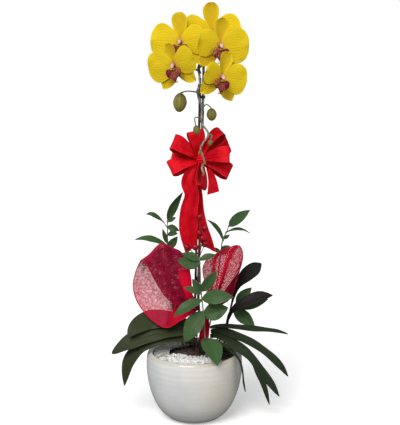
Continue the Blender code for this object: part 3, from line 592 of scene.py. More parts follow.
def satin():
    """Red satin ribbon: fine weft, faint lengthwise shading, a woven edge; tint.x darkens it as painted
    shade, most on the tails, less on the loops, least on the knot.
    """
    g = Graph("ribbon", Sheen_Weight=0.03, Sheen_Roughness=0.4, Anisotropic=0.4, Specular_IOR_Level=0.05)
    g.shader.inputs["Sheen Tint"].default_value = (1.0, 0.2, 0.2, 1.0)
    across, along, _ = g.parts("place")
    painted_shade, _, length = g.parts("tint")
    where = g.where()
    run = g.times(along, length)
    weft = g.math("SINE", g.times(run, 160.0 * TAU))
    crush = g.noise(where, 70.0, 4.0)
    thread = g.noise(g.vector(g.times(across, 60.0), g.times(run, 3.0)), 1.0, 3.0)
    colour = g.ramp(crush, (0.3, (0.62, 0.003, 0.011)), (0.5, (0.84, 0.006, 0.016)),
                    (0.75, (0.92, 0.022, 0.032)))
    colour = g.mix(g.span(thread, 0.4, 0.7, 0.0, 0.3), colour, (0.54, 0.003, 0.011))
    # Painted shade from tint.x: a deeper red on the tails than on the loops and the knot.
    colour = g.mix(g.times(painted_shade, 0.9), colour, (0.38, 0.001, 0.008))
    edge = g.span(g.math("ABSOLUTE", across), 0.9, 0.97)
    colour = g.mix(g.times(edge, 0.3), colour, (0.85, 0.04, 0.04))
    relief = g.plus(g.times(weft, 0.12), g.plus(edge, crush))
    return g.finish(colour, g.span(crush, 0.3, 0.7, 0.38, 0.5), relief, 0.0006, 0.4)


def berry():
    g = Graph("berry", Coat_Weight=0.25, Coat_Roughness=0.08, Specular_IOR_Level=0.15)
    where = g.where()
    patch = g.noise(where, 160.0, 4.0)
    _, along, _ = g.parts("place")
    colour = g.ramp(patch, (0.3, (0.16, 0.0, 0.01)), (0.6, (0.34, 0.002, 0.012)), (0.85, (0.5, 0.01, 0.02)))
    colour = g.mix(g.span(along, 0.04, 0.0), colour, (0.02, 0.012, 0.008))
    return g.finish(colour, g.span(patch, 0.3, 0.7, 0.25, 0.4), patch, 0.0004, 0.3)


def wire():
    """Paper-taped wire of the berry pick."""
    g = Graph("wire")
    around, along, _ = g.parts("place")
    wrap = lines(g, g.plus(g.times(along, 22.0), around), 1.0, 3.0)
    colour = g.mix(wrap, (0.1, 0.004, 0.01), (0.24, 0.012, 0.02))
    return g.finish(colour, 0.6, wrap, 0.0004, 0.6)


MESH_THREADS = 4.2


def woven_mesh():
    """Open red mesh. tint is (closed, bright, pale), place is in cm, MESH_THREADS to the cm. closed shuts
    the weave and also darkens the red as painted shade where layers overlap; bright lifts that painted shade
    to bright red; pale is a painted highlight along a flap's edge; the gaps between threads carry painted
    shade.
    """
    g = Graph("mesh", Specular_IOR_Level=0.04)
    closed, bright, pale = g.parts("tint")
    across, along, _ = g.parts("place")
    uneven = g.noise(g.where(), 90.0, 3.0)
    grain = g.noise(g.where(), 330.0, 2.0)
    shift = g.times(uneven, 0.25)
    pitch = MESH_THREADS * math.pi
    warp = g.math("ABSOLUTE", g.math("SINE", g.times(g.plus(across, shift), pitch)))
    weft = g.math("ABSOLUTE", g.math("SINE", g.times(g.plus(along, shift), pitch)))
    thread = g.math("MAXIMUM", warp, weft)
    limit = g.math("SUBTRACT", 0.8, g.times(closed, 0.85))
    limit = g.plus(limit, g.span(grain, 0.35, 0.65, -0.16, 0.16))
    alpha = g.node("ShaderNodeMapRange", {"Value": thread, "From Min": g.math("SUBTRACT", limit, 0.1),
                                          "From Max": limit, "To Min": 0.1, "To Max": 1.0})
    # Dark red where the weave is closed: painted shade between overlapping layers.
    dark = g.ramp(uneven, (0.3, (0.14, 0.002, 0.014)), (0.6, (0.26, 0.004, 0.028)),
                  (0.8, (0.36, 0.01, 0.045)))
    rosy = g.mix(g.span(closed, 0.35, 0.0), dark, (0.5, 0.02, 0.06))
    colour = g.mix(bright, rosy, (0.7, 0.004, 0.03))
    # pale: painted highlight along the flap's edge.
    colour = g.mix(g.times(pale, 0.7), colour, (0.75, 0.3, 0.32))
    # Painted shade seen through the gaps between threads, less where the mesh is bright.
    gap_shade = g.times(g.span(thread, 0.85, 0.55), g.span(grain, 0.3, 0.6, 0.3, 0.8))
    colour = g.mix(g.times(gap_shade, g.span(bright, 0.9, 0.2, 0.25, 1.0)), colour, (0.07, 0.0, 0.008))
    g.put(g.shader.inputs["Alpha"], alpha)
    return g.finish(colour, 0.6, thread, 0.0004, 0.5)


FLOOR_GLOW = 0.3


def pale_floor():
    """Matt white floor that also glows a little for the camera, so it melts into the backdrop."""
    g = Graph("floor", Specular_IOR_Level=0.05)
    grain = g.noise(g.where(), 3.0, 2.0)
    seen = g.node("ShaderNodeLightPath", {}, "Is Camera Ray")
    g.shader.inputs["Emission Color"].default_value = (1.0, 1.0, 1.0, 1.0)
    g.put(g.shader.inputs["Emission Strength"], g.times(seen, FLOOR_GLOW))
    white = g.ramp(grain, (0.4, (0.86, 0.86, 0.86)), (0.6, (0.88, 0.88, 0.88)))
    return g.finish(g.mix(seen, (0.3, 0.3, 0.31), white), 0.9)


def make_finishes():
    strap_leaf = leaf_finish("strap_leaf", (0.008, 0.014, 0.007), (0.018, 0.028, 0.013),
                             (0.07, 0.095, 0.05), (0.025, 0.037, 0.018), "lengthwise", 0.38, 0.03)
    broad_leaf = leaf_finish("broad_leaf", (0.013, 0.026, 0.007), (0.032, 0.055, 0.016),
                             (0.08, 0.115, 0.045), (0.035, 0.042, 0.018), "lengthwise", 0.36, 0.05)
    dark_leaf = leaf_finish("dark_leaf", (0.003, 0.003, 0.002), (0.006, 0.006, 0.005),
                            (0.02, 0.018, 0.016), (0.014, 0.012, 0.011), "slanting", 0.5, 0.0)
    foliage = leaf_finish("foliage", (0.006, 0.022, 0.005), (0.022, 0.075, 0.006), (0.1, 0.21, 0.01),
                          (0.05, 0.1, 0.035), "slanting", 0.36, 0.05)
    return {"glaze": glaze(), "bark": bark(), "nursery_plastic": nursery_plastic(), "gravel": gravel(),
            "moss": moss(), "strap_leaf": strap_leaf, "broad_leaf": broad_leaf, "dark_leaf": dark_leaf,
            "foliage": foliage, "stem": stem(), "stake": stake(), "petal": petal(), "lip": lip(),
            "column": column(), "callus": callus(), "bud": bud(), "ribbon": satin(), "berry": berry(),
            "wire": wire(), "mesh": woven_mesh(), "floor": pale_floor()}


FINISHES = make_finishes()


# ---------------------------------------------------------------- pot and top dressing

POT_HEIGHT = 124.5
POT_WALL = 6.5
FILLER_TOP = 112.0
PAD_RADIUS = 74.2
NURSERY_RIM_RADIUS = 52.0
NURSERY_RIM_HEIGHT = 119.5
CROWN_PLACE = (17, -2, 0)
CROWN_CLEARING = 11
HEAPED_STONES, SPILLED_STONES = 560, 210
MOSS_STRANDS = 420
BARK_CHIPS, RING_CHIPS = 190, 150

POT_OUTLINE = [(42, 0), (50, 3.5), (61, 13), (71, 27.5), (79, 46), (84.5, 66), (87.5, 86), (88, 98),
               (87.8, 107), (87.2, 115)]
POT_LIP = [(86.4, 119.5), (84.4, 122.8), (81, POT_HEIGHT), (77.8, POT_HEIGHT - 0.9), (75.8, 121),
           (75.4, 117.5)]


def inner_radius(height):
    """Inside radius of the pot at a height."""
    radii, heights = zip(*POT_OUTLINE)
    return float(np.interp(height, heights, radii)) - POT_WALL


def add_pot():
    foot = [(0, 1.6), (36, 1.6), (38.5, 0.2), (41, 0.0), (42.5, 0.3)]
    inside = [(inner_radius(z), z) for z in (113, 98, 80, 60, 42, 26, 15)] + [(40, 9)]
    wall = curve(POT_OUTLINE[1:] + POT_LIP + inside, 150)
    profile = [*foot, *wall.tolist(), (0, 9)]

    def thrown(points):
        """Faint rings from the potter's wheel, and a shape a little out of round."""
        height = points[:, 2]
        angle = bearing(points)
        ring = 0.0011 * np.sin(height * 0.62 + 0.5 * np.sin(angle)) * ease(height, 6, 20)
        return 1 + ring + 0.0012 * np.cos(2 * angle + 0.6)

    piece("glazed_pot", ["pot"], [("glaze", [lathe(profile, 128, wave=thrown)])])


def add_nursery_pot():
    """Thin inner pot with a rolled rim."""
    top, low, wall = NURSERY_RIM_HEIGHT, 22.0, 1.4

    def radius(height):
        return NURSERY_RIM_RADIUS - 0.11 * (top - height)

    rim = [(radius(z), z) for z in (low, 60, 100, 114)]
    rim += [(radius(115) + 0.4, 115.2), (radius(top) + 0.5, 116.6), (radius(top) + 0.5, top - 0.6),
            (radius(top), top), (radius(top) - wall, top), (radius(top) - wall, 114)]
    inside = [(radius(z) - wall, z) for z in (100, 60, low + wall)]

    def dented(points):
        angle = bearing(points)
        return 1 + 0.004 * np.sin(3 * angle + 1) * ease(points[:, 2], 95, 119)

    profile = [(0, low), *rim, *inside, (0, low + wall)]
    piece("inner_pot", ["nursery_pot"],
          [("nursery_plastic", [lathe(profile, 96, wave=dented)])])


def icosphere():
    made = bmesh.new()
    bmesh.ops.create_icosphere(made, subdivisions=2, radius=1.0)
    points = np.array([corner.co for corner in made.verts])
    faces = [tuple(corner.index for corner in face.verts) for face in made.faces]
    made.free()
    return points, faces


LUMP = icosphere()


def lump(centre, size, rng, chip, tint):
    """One stone or chip: a lumpy ball, cut flat on a few sides, turned at random."""
    points, faces = LUMP
    points = points.copy()
    for _ in range(chip):
        cut = unit(np.array([rng.gauss(0, 1) for _ in range(3)]))
        depth = rng.uniform(0.45, 0.8)
        over = np.maximum(points @ cut - depth, 0)
        points = points - over[:, None] * cut
    points = points * (1 + 0.16 * wobble(points, 0.7, rng.randrange(90)))[:, None]
    points = points * np.array([rng.uniform(0.7, 1.3), rng.uniform(0.7, 1.2), rng.uniform(0.5, 0.9)]) * size
    turn = Matrix.Rotation(rng.uniform(0, TAU), 3, "Z") @ Matrix.Rotation(rng.uniform(-0.9, 0.9), 3, "X")
    points = points @ np.array(turn).T + np.array(centre)
    return shape(points, faces, np.zeros((len(points), 3)), tint)


def heap_height(angle, share, start, stop, top, crown):
    """Height of a heaped pad between the inner pot and the wall, as in the CAD."""
    part = (angle - start) / (stop - start)
    fade = min(1.0, 4 * part, 4 * (1 - part))
    return top + crown * math.sin(math.pi * (0.15 + 0.7 * share)) * fade


def ring_pad(start, stop, top, crown, drop, tint):
    """The pad under stones or moss."""
    inner, outer = NURSERY_RIM_RADIUS + 1.2, PAD_RADIUS
    rows, columns = 60, 14
    grid = np.zeros((rows + 1, columns + 1, 3))
    for i in range(rows + 1):
        for j in range(columns + 1):
            angle = start + (stop - start) * i / rows
            height = heap_height(angle, j / columns, start, stop, top, crown) - drop
            grid[i, j] = polar(math.radians(angle), inner + (outer - inner) * j / columns, height)
    grid[..., 2] += 0.9 * wobble(grid, 5.0, 3)
    low = grid.copy()
    low[..., 2] = FILLER_TOP + 0.3
    across, along = spread(rows, columns)
    thick = grid[..., 2] - low[..., 2]
    middle = (grid + low) / 2
    made = solid(middle, 0.0, across, along, tint)
    made[0][:, 2] += np.concatenate([thick.ravel(), -thick.ravel()]) / 2
    return made


def add_gravel():
    """White chips, heaped along the front and left and spilling over the inner pot's rim."""
    rng = random.Random(11)
    start, stop, top, crown = 203, 322, 116.5, 8
    stones = []
    for _ in range(HEAPED_STONES):
        angle = rng.uniform(start + 1, stop - 1)
        share = rng.random()
        radius = NURSERY_RIM_RADIUS + 2.5 + (PAD_RADIUS - NURSERY_RIM_RADIUS - 5.0) * share
        height = heap_height(angle, share, start, stop, top, crown) + rng.uniform(-2.0, 1.2)
        centre = polar(math.radians(angle), radius, height)
        tint = (rng.random(), 1.0 if rng.random() < 0.08 else 0.25 * rng.random(), 0)
        stones.append(lump(centre, rng.uniform(1.8, 3.6), rng, 4, tint))
    for _ in range(SPILLED_STONES):
        angle = rng.uniform(205, 318)
        radius = NURSERY_RIM_RADIUS + 2 - 27 * rng.random() ** 1.4
        height = 121.6 + 0.04 * (radius - 40) + rng.uniform(-1.0, 1.6)
        centre = polar(math.radians(angle), radius, height)
        stones.append(lump(centre, rng.uniform(1.6, 3.2), rng, 4, (rng.random(), 0.3 * rng.random(), 0)))
    pad = ring_pad(start, stop, top, crown, 2.2, (0.2, 0.6, 0))
    piece("stone_chips", ["white_gravel"], [("gravel", [pad, *stones])])


def add_moss():
    """Pale fibrous moss, heaped against the back left of the lip."""
    rng = random.Random(5)
    start, stop, top, crown = 112, 200, 117, 6
    strands = []
    for _ in range(MOSS_STRANDS):
        angle, share = rng.uniform(start + 2, stop - 2), rng.uniform(0.05, 0.95)
        inner, outer = NURSERY_RIM_RADIUS - 5, PAD_RADIUS - 1.0
        radius = inner + (outer - inner) * share
        height = heap_height(angle, share, start, stop, top, crown)
        here = Vector(polar(math.radians(angle), radius, height - 1.4))
        heading = rng.uniform(0, TAU)
        rows = []
        for _ in range(6):
            rows.append((*here, rng.uniform(0.3, 0.6)))
            heading += rng.uniform(-0.9, 0.9)
            here += Vector((math.cos(heading), math.sin(heading), 0)) * rng.uniform(2.0, 4.0)
            flat = Vector((here.x, here.y))
            flat = flat.normalized() * min(max(flat.length, inner), outer)
            here = Vector((flat.x, flat.y, height - 1.0 + rng.uniform(-0.6, 2.8)))
        strands.append(tube(rows, 15, 5, (rng.random(), 0, 0)))
    pad = ring_pad(start, stop, top, crown, 1.6, (0.5, 0, 0))
    piece("moss_pad", ["grey_moss"], [("moss", [pad, *strands])])


def add_bark():
    rng = random.Random(23)
    top = [(0, 23.7), (38.6, 23.8), (48.2, 113.6), (44, 115.2), (34, 117.2), (16, 119), (0, 119.6)]
    core = [*top[:3], *curve(top[2:], 30).tolist()[1:]]
    mound = lathe(core, 64)
    points = mound[0]
    points[:, 2] += np.where(points[:, 2] > 113.8, 0.8 * wobble(points, 6.0, 8), 0)
    chips = []
    for _ in range(BARK_CHIPS):
        turn, radius = rng.uniform(0, TAU), 46 * math.sqrt(rng.random())
        height = 119.6 - 0.0022 * radius ** 2 + rng.uniform(-1.6, 0.4)
        centre = polar(turn, radius, height)
        if math.hypot(centre[0] - CROWN_PLACE[0], centre[1] - CROWN_PLACE[1]) < CROWN_CLEARING:
            continue
        chips.append(lump(centre, rng.uniform(2.0, 4.2), rng, 5, (0, rng.random(), 0)))
    piece("bark_mix", ["growing_medium"], [("bark", [mound, *chips])])

    chips = []
    for _ in range(RING_CHIPS):
        turn = math.radians(rng.uniform(322, 472))
        radius = rng.uniform(NURSERY_RIM_RADIUS + 4, inner_radius(FILLER_TOP) - 4.5)
        centre = polar(turn, radius, 113.5 + rng.uniform(-1.5, 1.2))
        chips.append(lump(centre, rng.uniform(1.8, 3.6), rng, 5, (0, rng.random(), 0)))
    piece("bark_ring", [], [("bark", chips)])
    repaint("pot_filler", "bark")


# ---------------------------------------------------------------- blades and leaves

ORCHID_LEAVES = {
    # name: rows of (x, y, z, width), the way the blade faces, fold
    "orchid_leaf_left_1": ([(3, 1, 166, 9), (-22, 0, 176, 22), (-56, -1, 184, 34), (-86, -5, 182, 36),
                            (-108, -16, 171, 26), (-120, -25, 157, 5)], (-0.1, -0.85, 0.5), 0.12),
    "orchid_leaf_left_2": ([(4, -3, 155, 8), (-24, -7, 162, 18), (-72, -14, 160, 28),
                            (-116, -18, 147, 32), (-150, -22, 125, 8)], (-0.15, -0.75, 0.65), 0.1),
    "orchid_leaf_left_3": ([(5, -6, 145, 7), (-26, -9, 151, 14), (-66, -14, 149, 21), (-98, -18, 135, 27),
                            (-120, -22, 108, 28), (-128, -23, 64, 4)], (-0.5, -0.75, 0.5), 0.1),
    "orchid_leaf_right_1": ([(29, 4, 166, 8), (48, 7, 169, 14), (100, 8, 164, 18), (150, 8, 159, 15),
                             (173, 8, 153, 3)], (0.05, -0.25, 1.0), 0.1),
    "orchid_leaf_right_2": ([(30, 0, 160, 8), (46, -1, 163, 14), (72, -3, 155, 19), (107, -8, 140, 21),
                             (136, -12, 120, 21), (158, -15, 99, 17), (172, -16, 80, 4)],
                            (0.35, -0.5, 0.8), 0.12),
    "orchid_leaf_right_3": ([(29, -6, 153, 8), (46, -8, 154, 14), (84, -17, 136, 20), (105, -24, 116, 20),
                             (121, -28, 94, 20), (140, -30, 70, 18), (155, -31, 47, 4)],
                            (0.45, -0.6, 0.65), 0.12),
    "orchid_leaf_right_4": ([(27, -9, 146, 7), (46, -19, 142.4, 10), (78, -34, 137, 14), (104, -42, 121, 16),
                             (116, -45, 96, 17), (127, -46, 68, 15), (136, -46, 37, 3)],
                            (0.6, -0.6, 0.55), 0.12),
    "orchid_leaf_right_5": ([(24, -13, 140, 6), (44, -28, 142, 8), (66, -46, 137, 10), (80, -54, 124, 10),
                             (86, -56, 104, 10), (88, -55, 84, 8), (92, -54, 64, 2.4)],
                            (0.95, -0.3, 0.2), 0.1),
}

DARK_LEAVES = {
    "dark_leaf_upper": ([(54, 26, 113, 3), (62, 26, 168, 3.4), (71, 25, 212, 4.4), (80, 25, 240, 12),
                         (96, 24, 260, 26), (112, 24, 273, 26), (124, 24, 283, 7)], (-0.1, -0.8, 0.5), 0.2),
    "dark_leaf_lower": ([(38, 20, 118, 3), (44, 21, 130, 3), (58, 22, 162, 3.4), (67, 18, 190, 8),
                         (86, 13, 208, 18), (118, 13, 222, 22), (145, 14, 225, 5)],
                        (-0.1, -0.8, 0.65), 0.2),
}


def blade(rows, facing, fold, steps=80, columns=20, tip_from=0.93, ribs=0, rib_height=0.0, wave=0.0,
          thickness=1.3, tint=(0, 0, 0), seed=0):
    """Leaf along rows of (x, y, z, width) whose face looks towards FACING.

    FOLD raises both edges by that share of the half width. RIBS pleats run lengthwise, and WAVE mm
    of slow ripple runs along the edges.
    """
    stations = curve(rows, steps)
    centres = stations[:, None, :3]
    across, along = spread(steps, columns)
    _, normal, side = strip_axes(stations, facing)
    taper = np.sqrt(np.clip(1 - np.clip((along - tip_from) / (1 - tip_from), 0, 1) ** 2, 0.0016, 1))
    half = stations[:, 3:4] / 2 * taper
    rise = fold * (np.sqrt(across ** 2 + 0.02) - 0.14) * half
    if ribs:
        rise = rise + rib_height * np.cos(math.pi * ribs * across) * (1 - across ** 6)
    rise = rise - 0.35 * np.exp(-(across / 0.09) ** 2)
    ripple = np.sin(TAU * (1.7 * along + 0.31 * seed)) + 0.5 * np.sin(TAU * (4.1 * along + 0.17 * seed))
    rise = rise + wave * ripple * across ** 2 * np.sign(across + 0.3) * np.sin(math.pi * along)
    grid = centres + side[:, None] * (across * half)[..., None] + normal[:, None] * rise[..., None]
    edge = thickness * (0.3 + 0.7 * dome(across)) * (0.35 + 0.65 * taper)
    return solid(grid, edge, across, along, tint)


def add_orchid_leaves():
    for number, (name, (rows, facing, fold)) in enumerate(ORCHID_LEAVES.items()):
        left = "left" in name
        finish = "broad_leaf" if left else "strap_leaf"
        made = blade(rows, facing, fold, ribs=0 if left else 3, rib_height=0.0 if left else 0.35,
                     wave=1.6 if left else 0.9, tint=(0.3 + 0.1 * (number % 3), 0.45 if left else 0.1, 1.0),
                     seed=number, thickness=1.5, tip_from=0.9)
        piece(f"{name}_blade", [name], [(finish, [made])])
    for number, (name, (rows, facing, fold)) in enumerate(DARK_LEAVES.items()):
        made = blade(rows, facing, fold, wave=0.8, tint=(0.3, 0.3, 7.0), seed=number, tip_from=0.88)
        piece(f"{name}_blade", [name], [("dark_leaf", [made])])


def add_crown():
    """Short stem base, wrapped in the bases of old leaves."""
    profile = [(0, 120.4), (9, 121.2), (9.5, 132), (8.6, 146), (7, 160), (4, 170), (0, 173)]
    core = [profile[0], *curve(profile[1:], 30).tolist()]
    core[-1] = (0, core[-1][1])

    def wrapped(points):
        height = points[:, 2]
        lobes = 0.07 * np.cos(3 * bearing(points) + height * 0.06)
        return 1 + lobes - 0.05 * np.abs(np.sin(height * 0.33))

    made = moved(lathe(core, 40, (0.4, 0.4, 1.0), wrapped), Matrix.Translation(CROWN_PLACE))
    piece("crown", ["orchid_crown"], [("strap_leaf", [made])])


# ---------------------------------------------------------------- filler foliage

FRONT = (0.0, -0.9, 0.35)

SPRIGS = {
    # name: stems as points, leaves as (stem, height on it, tip, width, facing, arch), tone, seed
    "sprig_upper_left": ([
        [(-18, 34, 118), (-34, 38, 160), (-44, 42, 229), (-49, 43, 286), (-50, 43, 321), (-50, 43, 352)],
        [(-50, 43, 346), (-50, 43, 356), (-49, 43, 362)],
        [(-50, 43, 346), (-55, 43, 354), (-59, 43, 360)],
    ], [
        (1, 360, (-21, 40, 414), 17, (0.5, -0.8, 0.3), -7),
        (2, 358, (-89, 38, 372), 12, (-0.4, -0.5, 0.8), 9),
        (1, 358, (-34, 42, 366), 9, FRONT, 2),
        (0, 349, (-28, 41, 341), 13, FRONT, 2),
        (0, 333, (-31, 40, 336), 11, (0.2, -0.9, 0.5), 5),
        (0, 316, (-59, 41, 345), 9, (-0.2, -0.9, 0.2), 1),
        (0, 306, (-31, 39, 331), 15, (0.2, -0.9, 0.3), 1),
        (0, 312, (-111, 38, 324), 15, (-0.2, -0.6, 0.8), 12),
    ], 0.05, 1),
    "sprig_upper_right": ([
        [(14, 33, 118.5), (28, 34, 160), (40, 38, 229), (48, 40, 286), (52, 40, 321), (60, 39, 340),
         (64, 38, 351)],
    ], [
        (0, 350, (103, 36, 381), 21, (-0.2, -0.85, 0.5), 2),
        (0, 338, (104, 38, 336), 10, (0.1, -0.4, 0.9), 9),
        (0, 323, (23, 36, 363), 12, (0.5, -0.6, 0.6), 7),
        (0, 326, (66, 39, 334), 7, FRONT, 1),
        (0, 298, (66, 35, 314), 16, (0.1, -0.85, 0.5), 2),
        (0, 300, (30, 36, 306), 12, (0.0, -0.6, 0.8), 3),
    ], 0.05, 2),
    "sprig_centre": ([
        [(22, -36, 116), (21, -38, 146), (19, -40, 165), (16, -42, 212), (12, -43, 249), (11, -41, 284),
         (9, -39, 309)],
    ], [
        (0, 246, (40, -48, 285), 19, (0.3, -0.9, 0.3), 3),
        (0, 246, (-3, -46, 270), 13, (-0.3, -0.9, 0.3), 2),
        (0, 242, (-18, -50, 255), 13, (-0.1, -0.8, 0.6), 4),
        (0, 233, (70, -52, 238), 27, (0.0, -0.85, 0.5), 6),
        (0, 231, (-36, -56, 203), 21, (-0.3, -0.8, 0.6), 7),
        (0, 210, (-17, -60, 158), 33, (-0.3, -0.9, 0.2), 5),
        (0, 203, (61, -44, 217), 31, (0.1, -0.95, 0.3), 2),
        (0, 160, (41, -88, 124), 37, (0.3, -0.7, 0.7), 8),
        (0, 296, (-29, -46, 302), 25, (0.0, -0.95, 0.3), 2),
        (0, 303, (-22, -42, 315), 15, (0.0, -0.8, 0.6), 2),
        (0, 302, (39, -36, 311), 13, (0.0, -0.7, 0.7), 3),
    ], 0.45, 3),
    "sprig_lower_right": ([
        [(34, 24, 118), (38, 27, 130), (50, 31, 146), (61, 34, 166), (73, 36, 190), (79, 36, 206)],
    ], [
        (0, 204, (107, 34, 235), 20, (0.0, -0.9, 0.4), 2),
        (0, 200, (138, 32, 213), 27, (0.1, -0.9, 0.4), 2),
        (0, 192, (113, 30, 162), 25, (0.2, -0.9, 0.2), 3),
    ], 0.4, 4),
}


LEAF_END_WIDTH = 1.6


def leaf_width(share, width):
    """Width of a lance-shaped leaf at a share of its length."""
    return max(LEAF_END_WIDTH, width * math.sin(math.pi * share ** 0.8) ** 0.85)


def small_leaf(base, tip, width, facing, arch, tone, seed):
    """Leaf from BASE to TIP with a short stalk, whose middle is raised by ARCH towards FACING."""
    base, tip, look = Vector(base), Vector(tip), Vector(facing).normalized()
    rows = []
    for k in range(13):
        share = k / 12
        centre = base.lerp(tip, share) + look * arch * 4 * share * (1 - share)
        rows.append((*centre, leaf_width(share, width)))
    length = (tip - base).length
    return blade(rows, facing, 0.2, 36, 14, 0.9, wave=0.03 * width, thickness=0.8,
                 tint=(tone, 0, length / 9), seed=seed)


def at_height(rows, height):
    """Point of a rising polyline at a height."""
    for low, high in zip(rows, rows[1:]):
        if low[2] <= height <= high[2]:
            share = (height - low[2]) / (high[2] - low[2])
            return Vector(low[:3]).lerp(Vector(high[:3]), share)
    return Vector(rows[-1][:3])


def tapered(points, thick, thin):
    last = len(points) - 1
    return [(*point, thick + (thin - thick) * k / last) for k, point in enumerate(points)]


def add_foliage():
    for name, (stems, leaves, tone, seed) in SPRIGS.items():
        rng = random.Random(seed)
        sticks = [tube(tapered(stems[0], 1.6, 0.9), 60, 10, (0.6, 0, 0))]
        sticks += [tube(tapered(stem_points, 1.0, 0.7), 16, 8, (0.6, 0, 0)) for stem_points in stems[1:]]
        blades = []
        for number, (stem_index, height, tip, width, facing, arch) in enumerate(leaves):
            root = at_height(curve(stems[stem_index], 8 if stem_index == 0 else 4), height)
            shade = tone + rng.uniform(-0.2, 0.35)
            blades.append(small_leaf(root, tip, width, facing, arch, shade, number + seed))
            sticks.append(moved(ball(1.9, 8, 10, (0.6, 0, 0)), Matrix.Translation(root)))
        piece(f"{name}_leaves", [name], [("stem", sticks), ("foliage", blades)])


# ---------------------------------------------------------------- spike, buds and flowers

STAKE_RADIUS = 2.2
SPIKE_RADIUS = 2.6
STAKE_FOOT = np.array((-2.0, 14.0, 70.0))
STAKE_TOP = np.array((11.0, 14.0, 622.0))

ARCH = [(17, 16, 640), (17.5, 19, 661), (17, 20.5, 676), (15, 18, 688), (12.5, 13, 690), (11, 9.5, 681),
        (11, 8.5, 669), (12, 7, 658), (12, 5, 650), (8, 1, 639), (9.5, -4, 623), (10, -10, 607),
        (6, -14, 597), (10.5, -20, 579), (14, -24, 569), (13, -31, 552), (14.5, -36, 541), (25, -44, 524),
        (12, -52, 502), (18, -57, 479), (13.5, -59, 468), (17, -60, 459)]

FLOWERS = [
    # centre, the way it faces, lean in degrees, size, stalk from the spike (start, middle)
    ((31, 2, 698), (0.12, -1.0, 0.02), -2, 1.0, (14, 16, 689), (22, 13, 694)),
    ((-23, -18, 682), (-0.22, -1.0, 0.0), -3, 1.0, (12, 5.5, 651), (-3, -6, 656)),
    ((44, -40, 675), (0.34, -1.0, -0.08), 5, 0.97, (8, 1, 638), (24, -14, 650)),
    ((-33, -56, 642), (-0.42, -1.0, -0.22), -13, 0.93, (8.5, 0, 633), (-10, -22, 640)),
    ((46, -66, 622), (0.46, -1.0, -0.15), 13, 0.92, (10, -9, 609), (26, -34, 611)),
]

BUDS = [
    # base, tip, largest radius, stalk from the spike (start, middle), darkness
    ((-23, -34, 595), (-26, -36, 562), 12.0, (6.5, -14.5, 596), (-10, -25, 598), 0.0),
    ((30, -35, 569), (31, -36, 547), 9.0, (14, -24.5, 569), (22, -31, 575), 0.3),
    ((3, -47, 540), (6, -49, 523), 6.2, (13, -32, 551), (2, -43, 553), 0.5),
    ((29, -55, 516), (27.5, -57, 505), 4.2, (25, -44, 524), (31, -51, 523), 0.6),
]

TINY_BUDS = [((12.5, -53, 499), (8, -58, 490), 2.6), ((17, -58, 480), (20, -62, 474), 2.3),
             ((17, -60, 461), (16, -61, 453), 1.9)]


def stake_at(height):
    share = (height - STAKE_FOOT[2]) / (STAKE_TOP[2] - STAKE_FOOT[2])
    return STAKE_FOOT + (STAKE_TOP - STAKE_FOOT) * share


def beside_stake(height):
    return stake_at(height) + np.array((STAKE_RADIUS + SPIKE_RADIUS + 0.8, 0, 0))


def flower_frame(centre, facing, lean):
    """Matrix (in mm) whose Z looks the way the flower faces and whose Y points to its top petal."""
    forward = Vector(facing).normalized()
    right = Vector((0, 0, 1)).cross(forward).normalized()
    top = forward.cross(right)
    turn = Matrix.Rotation(math.radians(-lean), 3, "Z")
    axes = Matrix((right, top, forward)).transposed() @ turn
    return Matrix.Translation(Vector(centre)) @ axes.to_4x4()


PETAL_STEPS, PETAL_COLUMNS = 46, 28
OUTLINE_LENGTH = 50

# Half outlines from the root to the tip, as (forward, sideways) for a petal OUTLINE_LENGTH mm long
BROAD_PETAL = [(1.5, 2.5), (3, 8), (8, 15.5), (16, 22.5), (26, 27.5), (36, 28), (44, 23), (48.8, 13.5),
               (50, 5), (50, 0)]
DORSAL_SEPAL = [(1.5, 3.5), (5, 5), (13, 7.4), (24, 11.4), (34, 13.6), (42, 12.4), (47.5, 8), (49.8, 3),
                (50, 0)]
LATERAL_SEPAL = [(1.5, 4), (6, 8), (14, 12), (24, 14.2), (34, 13.4), (42, 9.8), (47.5, 5), (49.8, 1.8),
                 (50, 0)]


def flower_petal(angle, length, outline, relief, tint, seed):
    """One petal or sepal in its flower's frame; RELIEF(along, across) is its forward lift."""
    across, along = spread(PETAL_STEPS, PETAL_COLUMNS)
    turn = math.radians(angle)
    ahead = np.array((math.sin(turn), math.cos(turn), 0))
    beside = np.array((math.cos(turn), -math.sin(turn), 0))
    edge = curve(outline, PETAL_STEPS) * length / OUTLINE_LENGTH
    middle = np.linspace(edge[0, 0], edge[-1, 0], PETAL_STEPS + 1)
    inward = np.abs(across)
    forward = middle[:, None] * (1 - inward) + edge[:, :1] * inward
    sideways = edge[:, 1:] * across
    ripple = np.sin(TAU * (1.1 * along + 0.37 * seed)) + 0.6 * np.sin(TAU * (2.4 * along + 0.23 * seed))
    sideways = sideways * (1 + 0.03 * ripple * np.sign(across))
    flat = ahead * forward[..., None] + beside * sideways[..., None]
    lift = relief(along, across) + 1.4 * ripple * inward ** 3 * along
    lift = lift + 1.3 * wobble(flat, 16.0, seed) * along - 0.5 * np.exp(-(across / 0.06) ** 2) * along
    grid = flat + np.array((0, 0, 1.0)) * lift[..., None]
    thick = 0.9 * (0.35 + 0.65 * dome(across)) * (1 - 0.5 * along ** 4)
    return solid(grid, thick, across, along, tint)


def disc(centre, half_width, half_height, lean, bulge, away, tint):
    """Round lobe seen from the front: an ellipse about CENTRE, LEAN degrees, swollen forward."""
    across, along = spread(18, 18)
    x, y = across, 2 * along - 1
    x, y = x * np.sqrt(1 - y * y / 2), y * np.sqrt(1 - x * x / 2)
    turn = math.radians(lean)
    wide, tall = x * half_width, -y * half_height
    grid = np.stack([centre[0] + wide * math.cos(turn) - tall * math.sin(turn),
                     centre[1] + wide * math.sin(turn) + tall * math.cos(turn),
                     centre[2] + bulge * (1 - x * x - y * y) + away * x * half_width], -1)
    return solid(grid, 0.9 - 0.5 * (x * x + y * y), across, along, tint)


